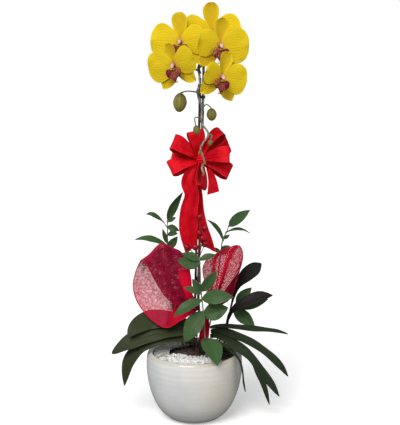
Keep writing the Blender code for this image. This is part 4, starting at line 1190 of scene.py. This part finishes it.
def middle_lobe():
    """Anchor-shaped front of the lip, hollow along its middle."""
    across, along = spread(34, 18)
    knots = np.array([(0, 2.6), (0.15, 3.2), (0.35, 5.4), (0.52, 9.2), (0.66, 10.0), (0.8, 7.0), (0.92, 3.2),
                      (1, 0.9)])
    half = np.interp(along, knots[:, 0], knots[:, 1])
    y = -4.5 - 26.0 * along + 3.4 * np.abs(across) * ease(along, 0.35, 0.75)
    z = 4.0 + 11.0 * np.sin(1.9 * along) - 1.5 * along + 2.4 * across ** 2 * (1 - along)
    z = z + 1.3 * np.abs(across) ** 3 * np.sin(9 * along)
    grid = np.stack([across * half, y, z], -1)
    thick = 1.3 * (0.4 + 0.6 * dome(across))
    return solid(grid, thick, across, along, (0.4, 0.6, 0))


def tendril(hand):
    """One of the two thin curls at the tip of the lip."""
    rows = [(0.7 * hand, -29.0, 12.4, 0.7), (3.0 * hand, -31.0, 14.0, 0.6), (5.6 * hand, -29.6, 16.4, 0.5),
            (5.6 * hand, -26.4, 17.8, 0.4), (3.6 * hand, -25.6, 16.8, 0.3)]
    return tube(rows, 24, 7, (0.1, 0.9, 1))


# Length of the dorsal sepal, the left petal and the right petal of each flower
PETAL_LENGTHS = [(53, 51, 52), (51, 52, 45), (48, 43, 53), (40, 50, 45), (47, 37, 50)]


def add_flower(number, centre, facing, lean, size):
    """Sepals behind, two broad petals, and the lip with its column, callus and curls."""
    placed = flower_frame(centre, facing, lean) @ Matrix.Scale(size, 4)
    near = -1 if facing[0] < 0 else 1

    def hood(along, across):
        return -2.2 + 2.5 * along ** 2 + 3.6 * across ** 2 * np.sin(math.pi * np.clip(along, 0, 0.8)) \
            - 3.0 * ease(along, 0.85, 1.0)

    def backed(along, across):
        return -2.4 + 3.0 * along ** 2 + 1.6 * np.sin(math.pi * along) + 2.2 * across ** 2 * along

    def saucer(along, across):
        return 0.7 + 6.5 * along ** 2 + 1.8 * np.sin(math.pi * along) * (1 - across ** 2) \
            + 1.5 * across ** 2 * along

    dorsal, left, right = PETAL_LENGTHS[number - 1]
    sepals = [flower_petal(0, dorsal, DORSAL_SEPAL, hood, (0, 1, 0), number),
              flower_petal(138, 50, LATERAL_SEPAL, backed, (0, 0.4, 1), number + 3),
              flower_petal(222, 50, LATERAL_SEPAL, backed, (0, 0.4, 1), number + 5)]
    petals = [flower_petal(84, right, BROAD_PETAL, saucer, (0, 0, 0), number + 7),
              flower_petal(276, left, BROAD_PETAL, saucer, (0, 0, 0), number + 11)]
    deep, striped = (0.5, 0.15, 0), (0.5, 0.9, 0)
    lobes = [disc((8.9, -13, 10), 6.4, 9.0, -14, 3.6, 0.25, deep if near > 0 else striped),
             disc((-8.9, -13, 10), 6.4, 9.0, 14, 3.6, -0.25, striped if near > 0 else deep),
             disc((0, -10.5, 5.5), 6.2, 6.5, 0, 2.0, 0.0, striped), middle_lobe()]
    curls = [tendril(1), tendril(-1)]
    rod = tube([(0, 1.5, 0.2, 3.2), (0, 1.6, 3.5, 3.6), (0, 0.9, 7.5, 3.5), (0, -0.6, 10.5, 3.6),
                (0, -2.2, 12.4, 2.6), (0, -3.0, 13.0, 0.9)], 26, 16, squash=0.85)
    cap = moved(ball(2.3, 10, 14, (0, 0, 0)), Matrix.Translation((0, -2.2, 12.0)))
    knob = moved(ball(2.3, 8, 12), Matrix.Translation((0, -7.0, 9.2)) @ Matrix.Diagonal((1.2, 0.8, 1, 1)))
    piece(f"flower_{number}_sepal_trio", [f"flower_{number}_sepals"],
          [("petal", [moved(made, placed) for made in sepals])])
    piece(f"flower_{number}_petal_pair", [f"flower_{number}_petals"],
          [("petal", [moved(made, placed) for made in petals])])
    piece(f"flower_{number}_lip_and_column", [f"flower_{number}_lip"],
          [("lip", [moved(made, placed) for made in lobes]),
           ("column", [moved(rod, placed), moved(cap, placed)]),
           ("callus", [moved(made, placed) for made in (knob, *curls)])])


def bud_shape(base, tip, radius, tone, columns=28):
    """Bud from BASE to TIP with three soft seams."""
    base, tip = Vector(base), Vector(tip)
    length = (tip - base).length
    turn = (tip - base).to_track_quat("Z", "Y").to_matrix().to_4x4()
    knots = curve([(0.3, 0.02), (0.75, 0.18), (1.0, 0.45), (0.88, 0.72), (0.5, 0.92), (0.16, 0.99)], 26)
    profile = [(0, 0), *((radius * r, length * z) for r, z in knots), (0, length)]

    def seams(points):
        angle = bearing(points)
        return 1 - 0.07 * np.abs(np.cos(1.5 * angle)) ** 6 + 0.015 * np.cos(12 * angle)

    return moved(lathe(profile, columns, (tone, 0, 0), seams), Matrix.Translation(base) @ turn)


def bract(point, ahead, outward, length):
    """Small pointed scale that hugs the spike at a node."""
    across, along = spread(14, 8)
    ahead, outward = Vector(ahead).normalized(), Vector(outward)
    outward = (outward - ahead * outward.dot(ahead)).normalized()
    beside = ahead.cross(outward)
    half = 3.4 * (1 - along) ** 0.7 + 0.12
    angle = across * half / 3.2
    radius = 3.1 + 0.9 * along
    grid = (np.array(point) + np.array(ahead) * (along * length)[..., None]
            + np.array(outward) * (radius * np.cos(angle))[..., None]
            + np.array(beside) * (radius * np.sin(angle))[..., None])
    return solid(grid, 0.5, across, along, (0.8, 0, 0))


def add_spike():
    lower = [(18.5, 9.5, 146), (16, 13, 158), (10, 14.5, 185)]
    tied = [tuple(beside_stake(z)) for z in (230, 330, 430, 530, 610)]
    route = [(*point, SPIKE_RADIUS if point[2] < 600 else 2.3) for point in lower + tied]
    route += [(*point, 2.4 - 0.7 * k / len(ARCH)) for k, point in enumerate(ARCH)]
    stations = curve(route, 460)
    centres = stations[:, :3] + 0.35 * np.stack([wobble(stations[:, :3], 16.0, k) for k in (1, 2, 3)], -1)
    radii = stations[:, 3] * (1 + 0.06 * wobble(stations[:, :3], 7.0, 4))
    starts = [flower[4] for flower in FLOWERS] + [bud_row[3] for bud_row in BUDS]
    joints = [Vector(start) for start in starts] + [Vector(beside_stake(z)) for z in (255, 345, 440, 560)]
    parts = []
    for number, joint in enumerate(joints):
        away = np.linalg.norm(centres - np.array(joint), axis=1)
        radii = radii * (1 + 0.28 * np.exp(-(away / 3.2) ** 2))
        nearest = int(away.argmin())
        ahead = centres[min(nearest + 4, len(centres) - 1)] - centres[max(nearest - 4, 0)]
        outward = (math.cos(2.4 * number), math.sin(2.4 * number) - 0.6, 0.2)
        parts.append(bract(centres[nearest], ahead, outward, 9.0 if number > 8 else 6.0))
    parts.insert(0, rings(centres, radii, 14))
    for centre, facing, lean, size, start, middle in FLOWERS:
        placed = flower_frame(centre, facing, lean)
        near, end = placed @ Vector((0, 0, -12)), placed @ Vector((0, 0, -1.0 * size))
        rows = [(*start, 1.7), (*middle, 1.5), (*near, 1.6), (*end, 2.2)]
        parts.append(tube(rows, 40, 10, (0.9, 0, 0)))
    for base, tip, radius, start, middle, _ in BUDS:
        away = (Vector(base) - Vector(tip)).normalized()
        rows = [(*start, 1.4), (*middle, 1.1), (*(Vector(base) + away * 0.3), 1.3)]
        parts.append(tube(rows, 30, 10, (0.7, 0, 0)))
    tiny = [bud_shape(base, tip, radius, 0.6, 16) for base, tip, radius in TINY_BUDS]
    piece("spike_and_stalks", ["flower_spike"], [("stem", parts), ("bud", tiny)])
    for number, (base, tip, radius, _, _, tone) in enumerate(BUDS, 1):
        made = bud_shape(base, tip, radius, tone, 48)
        piece(f"bud_{number}_closed", [f"bud_{number}"], [("bud", [made])])


def add_stake():
    rows = [(*stake_at(z), STAKE_RADIUS) for z in (70, 200, 330, 460, 590, 617)]
    rows += [(*stake_at(621), 1.9)]
    piece("stake_rod", ["stake"], [("stake", [tube(rows, 120, 20)])])
    repaint("stake_clip", "stake")


# ---------------------------------------------------------------- ribbon

RIBBON_WIDTH = 30.0
SHORT_TAIL_WIDTH = 17.0
RIBBON_THICKNESS = 0.45
LOOP_STEPS, LOOP_COLUMNS = 72, 22
TAIL_STEPS, TAIL_COLUMNS = 110, 26
KNOT_CENTRE = Vector((11.0, 0.0, 479.0))

BOW_LOOPS = [
    # start beside the knot, far end, direction of the ribbon's width, half height of the loop
    ((1, -5, 484), (-37, -22, 511), (0.45, 0.55, 0.9), 6),
    ((0, 3, 479), (-39, 3, 489), (0.1, 0.6, 0.9), 6),
    ((2, -6, 472), (-43, -21, 463), (-0.65, 0.5, 0.7), 6),
    ((8, -5, 490), (2, -13, 529), (1.0, 0.35, 0.1), 6),
    ((16, -3, 489), (49, -5, 528), (0.25, 0.5, 0.85), 7),
    ((21, 5, 482), (62, 11, 504), (0.4, 0.5, -0.75), 5),
    ((20, -9, 481), (62, -31, 488), (-0.05, 0.45, 0.9), 7),
    ((20, -2, 472), (64, -7, 455), (0.45, 0.5, 0.7), 7),
    ((13, -12, 468), (14, -30, 430), (0.3, 0.95, 0.0), 4.5),
]

RIBBON_TAILS = {
    # name: rows of (x, y, z, width), the way the ribbon faces
    "ribbon_tail_left": ([(5, -12, 468, 9), (-4, -17, 456, 22), (-9, -21, 438, 28), (-4, -23, 416, 26),
                          (-9, -24, 388, 31), (-10, -24, 355, 33), (-5, -22, 318, 22)], (0.1, -1, 0.05)),
    "ribbon_tail_back": ([(6, 2, 467, 8), (0, -5, 445, 18), (1, -9, 415, 28), (3, -10, 385, 30),
                          (9, -11, 358, 30), (19, -12, 337, 24), (28, -13, 317, 16)], (0.0, -1, 0.05)),
    "ribbon_tail_short": ([(24, -11, 463, 6), (29, -15, 453, 11), (33, -18, 438, 16), (34, -20, 419, 22)],
                          (0.15, -1, 0.1)),
}


def loop_grid(start, end, across_way, height, seed):
    """Ribbon loop that leaves the knot, turns at END and comes back beside itself.

    It is gathered into pleats at the knot, and the satin is a little crushed.
    """
    start = 0.55 * np.array(start, float) + 0.45 * np.array(KNOT_CENTRE, float)
    reach = np.array(end, float) - start
    ahead = unit(reach)
    beside = np.array(across_way, float)
    beside = unit(beside - ahead * (beside @ ahead))
    out = np.cross(beside, ahead)
    across, along = spread(LOOP_STEPS, LOOP_COLUMNS)
    swell = np.sin(math.pi * along)
    open_share = np.minimum(1.0, 1.25 * swell)
    half = RIBBON_WIDTH / 2 * (0.42 + 0.58 * open_share)
    away = 1.8 * np.cos(math.pi * along) + height * np.sin(TAU * along)
    pleat = (1 - open_share) * 1.5 * np.cos(math.pi * 4 * across + seed)
    sag = 0.9 * np.sin(math.pi * (across + 0.2 * seed)) * swell
    grid = (start + reach * swell[..., None] + out * (away + pleat + sag)[..., None]
            + beside * (across * half)[..., None])
    crush = 1.5 * wobble(grid, 15.0, seed) + 0.6 * wobble(grid, 6.0, seed + 20)
    grid = grid + out * (crush * swell)[..., None]
    return grid, across, along


def add_loops():
    for number, (start, end, across_way, height) in enumerate(BOW_LOOPS, 1):
        grid, across, along = loop_grid(start, end, across_way, height, number)
        length = line_length(grid[:, LOOP_COLUMNS // 2])
        # tint.x 0.3 is a light painted shade on the loops.
        made = solid(grid, RIBBON_THICKNESS, across, along, (0.3, 0, length / 10))
        loop = piece(f"bow_loop_{number}_satin", [f"bow_loop_{number}"], [("ribbon", [made])])


def tail_grid(rows, facing, folds, slant, seed, steps=TAIL_STEPS, columns=TAIL_COLUMNS):
    """Hanging ribbon with lengthwise FOLDS mm deep and an end cut at a SLANT."""
    stations = curve(rows, steps)
    tangent, normal, side = strip_axes(stations, facing)
    across, along = spread(steps, columns)
    half = stations[:, 3:4] / 2
    deep = folds * (0.4 + 0.6 * np.sin(math.pi * np.clip(along * 1.2, 0, 1)))
    rise = deep * np.cos(math.pi * (1.6 * across + 0.5 * np.sin(3.1 * along + seed)))
    rise = rise + 1.2 * np.cos(5 * math.pi * across) * (1 - ease(along, 0.0, 0.25))
    grid = (stations[:, None, :3] + side[:, None] * (across * half)[..., None]
            + normal[:, None] * rise[..., None])
    cut = slant * across * ease(along, 0.75, 1.0)
    grid = grid + tangent[:, None] * cut[..., None]
    grid = grid + normal[:, None] * (0.9 * wobble(grid, 22.0, seed))[..., None]
    return grid, across, along


def add_tails():
    looks = {"ribbon_tail_left": (1.6, 7.0, 1, RIBBON_WIDTH),
             "ribbon_tail_back": (1.3, -9.0, 2, RIBBON_WIDTH),
             "ribbon_tail_short": (1.2, 2.5, 3, SHORT_TAIL_WIDTH)}
    for name, (rows, facing) in RIBBON_TAILS.items():
        folds, slant, seed, width = looks[name]
        grid, across, along = tail_grid(rows, facing, folds, slant, seed)
        length = line_length(grid[:, TAIL_COLUMNS // 2])
        # tint.x 0.6 is a deeper painted shade on the hanging tails.
        made = solid(grid, RIBBON_THICKNESS, across, along, (0.6, 0, length / 10))
        tail = piece(f"{name}_satin", [name], [("ribbon", [made])])


def add_knot():
    """Band of gathered ribbon that ties the loops to the stake."""
    profile = [(0, -10.5), (5.6, -9), (9.2, -4.2), (9.8, 0.9), (8.8, 5.8), (5.4, 9.4), (0, 10.5)]
    core = [profile[0], *curve(profile[1:-1], 30).tolist(), profile[-1]]

    def pleats(points):
        angle = bearing(points)
        return 1 + 0.05 * np.sin(points[:, 2] * 1.7 + 2 * np.sin(angle)) - 0.04 * np.abs(np.sin(3 * angle))

    # tint.x 0.2 is the lightest painted shade, on the knot.
    made = moved(lathe(core, 56, (0.2, 0, 2.0), pleats), Matrix.Translation(KNOT_CENTRE))
    piece("bow_knot_satin", ["bow_knot"], [("ribbon", [made])])


# ---------------------------------------------------------------- berries

BERRY_RADIUS = 6.0
BERRIES = [(19, -37, 359), (15, -38, 341), (19, -33, 330), (2, -38, 325), (-13, -35, 325), (10, -37, 379),
           (9, -34, 350)]


def add_berries():
    rng = random.Random(4)
    stalk = [(3, -33, 119, 1.2), (5, -35, 160, 1.2), (8, -36, 205, 1.2), (8, -35, 245, 1.2),
             (9, -33, 280, 1.1), (9, -33, 310, 1.1)]
    wires, fruit = [tube(stalk, 120, 10)], []
    top = Vector((9, -33, 306))
    for centre in BERRIES:
        centre = Vector(centre)
        bend = top.lerp(centre, 0.5) + Vector((0, -2, 0))
        wires.append(tube([(*top, 0.8), (*bend, 0.7), (*centre, 0.7)], 24, 8))
        turn = (top - centre).to_track_quat("-Z", "Y").to_matrix().to_4x4()
        lean = Matrix.Rotation(rng.uniform(-0.4, 0.4), 4, "X")

        def dimple(points):
            height = points[:, 2] / BERRY_RADIUS
            return 1 + 0.03 * np.sin(3 * points[:, 0] / BERRY_RADIUS + rng.random()) - 0.04 * height ** 2

        made = ball(BERRY_RADIUS * rng.uniform(0.93, 1.03), 18, 28, wave=dimple)
        fruit.append(moved(made, Matrix.Translation(centre) @ turn @ lean))
    piece("berries_on_wires", ["berry_pick"], [("wire", wires), ("berry", fruit)])


# ---------------------------------------------------------------- mesh fans

LEFT_FAN = [
    # ribs from the gather, up the back, over the crest and down the front
    [(9, -15, 206), (-24, -21, 187), (-56, -23, 175), (-98, -6, 206), (-113, 8, 246), (-94, 0, 294),
     (-70, -19, 258), (-47, -27, 227), (-22, -28, 215), (9, -19, 208)],
    [(9, -14, 208), (-14, -9, 214), (-40, 2, 226), (-62, 14, 258), (-68, 13, 296), (-57, 0, 324),
     (-46, -16, 290), (-36, -26, 255), (-18, -28, 228), (9, -19, 211)],
    [(9, -13, 210), (0, -9, 224), (-7, 2, 242), (-10, 8, 264), (-14, 6, 288), (-21, 0, 306),
     (-11, -14, 293), (-5, -24, 266), (-3, -26, 238), (9, -19, 214)],
]

RIGHT_FAN = [
    # ribs from the gather outwards, the last one being the edge of the flap folded to the front
    [(27, -16, 216), (23, -14, 235), (18, -10, 260), (15, -6, 280), (21, -3, 295)],
    [(28, -15, 214), (31, -8, 241), (34, -1, 268), (37, 2, 290), (42, 0, 308)],
    [(29, -14, 212), (43, -4, 238), (53, 4, 268), (63, 5, 298), (76, 1, 322)],
    [(30, -13, 210), (50, -2, 226), (66, 6, 252), (80, 6, 282), (89, 2, 309)],
    [(31, -14, 208), (50, -6, 211), (68, 3, 223), (77, 4, 254), (85, 2, 286)],
    [(31, -19, 209), (43, -19, 224), (54, -19, 243), (67, -14, 259), (82, -5, 277)],
]

MESH_TAIL = [(20, -20, 200, 10), (20, -23, 186, 14), (19, -25, 168, 17), (18, -26, 150, 15)]


def surface(ribs, rows, columns):
    """Grid on a smooth surface through ribs, which are lists of points."""
    ribs_along = [curve(rib, rows) for rib in ribs]
    return np.stack([curve([rib[i] for rib in ribs_along], columns) for i in range(rows + 1)])


def shares(grid):
    """(along, across) of each grid point, both from 0 to 1."""
    rows, columns = grid.shape[:2]
    return np.meshgrid(np.linspace(0, 1, rows), np.linspace(0, 1, columns), indexing="ij")


def run_lengths(grid):
    """Place of each grid point across and along the cloth, in cm from the first corner."""
    across = np.cumsum(np.linalg.norm(np.diff(grid, axis=1, prepend=grid[:, :1]), axis=2), axis=1)
    along = np.cumsum(np.linalg.norm(np.diff(grid, axis=0, prepend=grid[:1]), axis=2), axis=0)
    return across / 10, along / 10


def add_cloth(name, node, grid, tint):
    grid = grid + normals(grid) * (0.5 * wobble(grid, 9.0, 31))[..., None]
    across, along = run_lengths(grid)
    made = solid(grid, 0.45, across, along, tint)
    cloth = piece(name, [node], [("mesh", [made])])


def add_mesh_fans():
    grid = surface(LEFT_FAN, 150, 60)
    v, u = shares(grid)
    gathered = np.maximum(1 - ease(v, 0.02, 0.2), ease(v, 0.82, 0.98))
    normal = normals(grid)
    pleat = 2.4 * np.sin(TAU * (3.2 * u + 0.4 * v)) * np.sin(math.pi * v) ** 0.5 * gathered
    pleat = pleat + 1.5 * np.sin(TAU * (2.3 * u + 0.2)) * (1 - gathered)
    grid = grid + normal * pleat[..., None]
    edge = np.maximum(ease(1 - u, 0.965, 0.99), ease(u, 0.97, 0.995))
    crest = np.exp(-((v - 0.545) / 0.012) ** 2)
    front = ease(v, 0.55, 0.6)
    strip = ease(v, 0.68, 0.76) * ease(u, 0.66, 0.7)
    low = 1 - ease(v, 0.14, 0.24)
    # closed also sets painted shade, a darker red where layers overlap; bright lifts it on the selvage,
    # crest, strip and gather.
    closed = np.max([edge, crest * 0.8, 0.42 * front, strip, low, gathered], axis=0)
    bright = np.max([edge, crest, 0.9 * strip, 0.75 * low], axis=0)
    add_cloth("mesh_fan_left_cloth", "mesh_fan_left", grid,
              np.stack([closed, bright, np.zeros_like(u)], -1))

    grid = surface(RIGHT_FAN, 70, 130)
    v, u = shares(grid)
    normal = normals(grid)
    grid = grid + normal * (2.2 * np.sin(TAU * 4.5 * u + 0.6) * (1 - 0.5 * v) * ease(u, 1.0, 0.8))[..., None]
    edge = np.maximum(ease(u, 0.975, 0.99), np.maximum(1 - ease(u, 0.01, 0.02), ease(v, 0.97, 0.99)))
    bands = np.exp(-((u - 0.2) / 0.035) ** 2) + np.exp(-((u - 0.4) / 0.05) ** 2)
    flap = ease(u, 0.82, 0.86)
    low = 1 - ease(v, 0.1, 0.4)
    open_cloth = np.full_like(u, 0.2)
    # closed also sets painted shade where layers overlap; bright lifts it on the edges, bands and gather.
    closed = np.clip(np.max([edge, 0.75 * bands, 0.5 * flap, 0.8 * low, open_cloth], axis=0), 0, 1)
    bright = np.clip(np.max([edge, bands, 0.8 * low, 0.35 * (1 - flap)], axis=0), 0, 1)
    # pale: painted highlight along the folded flap's edge.
    pale = ease(u, 0.975, 0.99)
    add_cloth("mesh_fan_right_cloth", "mesh_fan_right", grid, np.stack([closed, bright, pale], -1))

    grid, across, _ = tail_grid(MESH_TAIL, (0.1, -1, 0), 1.8, 3.0, 9, 50, 20)
    # Mesh tail: closed gives painted shade, and bright rises across the width as painted light on one side.
    closed = np.stack([np.full_like(across, 0.85), 0.6 + 0.2 * across, np.zeros_like(across)], -1)
    add_cloth("mesh_tail_cloth", "mesh_tail", grid, closed)


# ---------------------------------------------------------------- floor, light and camera

FLOOR_SIDE = 30.0
SKY_STRENGTH = 0.32
CAMERA_PLACE = (0.0105, -1.5, 0.603)
CAMERA_DIP = 8.4
CAMERA_LENS, SENSOR_WIDTH = 71.3, 36.0


def add_studio():
    scene = bpy.context.scene
    mesh = bpy.data.meshes.new("floor")
    side = FLOOR_SIDE
    mesh.from_pydata([(-side, -side, 0), (side, -side, 0), (side, side, 0), (-side, side, 0)], [],
                     [(0, 1, 2, 3)])
    mesh.materials.append(FINISHES["floor"])
    add_object("floor", mesh)

    world = bpy.data.worlds.new("studio")
    world.use_nodes = True
    scene.world = world
    tree = world.node_tree
    seen = tree.nodes.new("ShaderNodeBackground")
    seen.inputs[0].default_value = (1.0, 1.0, 1.0, 1.0)
    light = tree.nodes["Background"]
    light.inputs[0].default_value = (0.93, 0.96, 1.0, 1.0)
    light.inputs[1].default_value = SKY_STRENGTH
    path = tree.nodes.new("ShaderNodeLightPath")
    blend = tree.nodes.new("ShaderNodeMixShader")
    tree.links.new(path.outputs["Is Camera Ray"], blend.inputs[0])
    tree.links.new(light.outputs[0], blend.inputs[1])
    tree.links.new(seen.outputs[0], blend.inputs[2])
    tree.links.new(blend.outputs[0], tree.nodes["World Output"].inputs[0])

    def sun(name, towards, strength, spread_angle, colour):
        data = bpy.data.lights.new(name, "SUN")
        data.energy = strength
        data.angle = math.radians(spread_angle)
        data.color = colour
        add_object(name, data).rotation_euler = Vector(towards).to_track_quat("-Z", "Y").to_euler()

    sun("key", (0.38, 0.9, -1.0), 2.75, 35, (1.0, 0.99, 0.97))
    sun("fill", (-0.7, 0.7, -0.4), 0.6, 50, (1.0, 0.96, 0.9))

    data = bpy.data.cameras.new("camera")
    data.lens = CAMERA_LENS
    data.sensor_width = SENSOR_WIDTH
    camera = add_object("camera", data)
    camera.location = CAMERA_PLACE
    camera.rotation_euler = (math.radians(90 - CAMERA_DIP), 0, 0)
    scene.camera = camera
    scene.view_settings.view_transform = "Standard"


def main():
    add_studio()
    add_pot()
    add_nursery_pot()
    add_bark()
    add_gravel()
    add_moss()
    add_crown()
    add_orchid_leaves()
    add_foliage()
    add_stake()
    add_spike()
    for number, (centre, facing, lean, size, _, _) in enumerate(FLOWERS, 1):
        add_flower(number, centre, facing, lean, size)
    add_knot()
    add_loops()
    add_tails()
    add_berries()
    add_mesh_fans()


main()
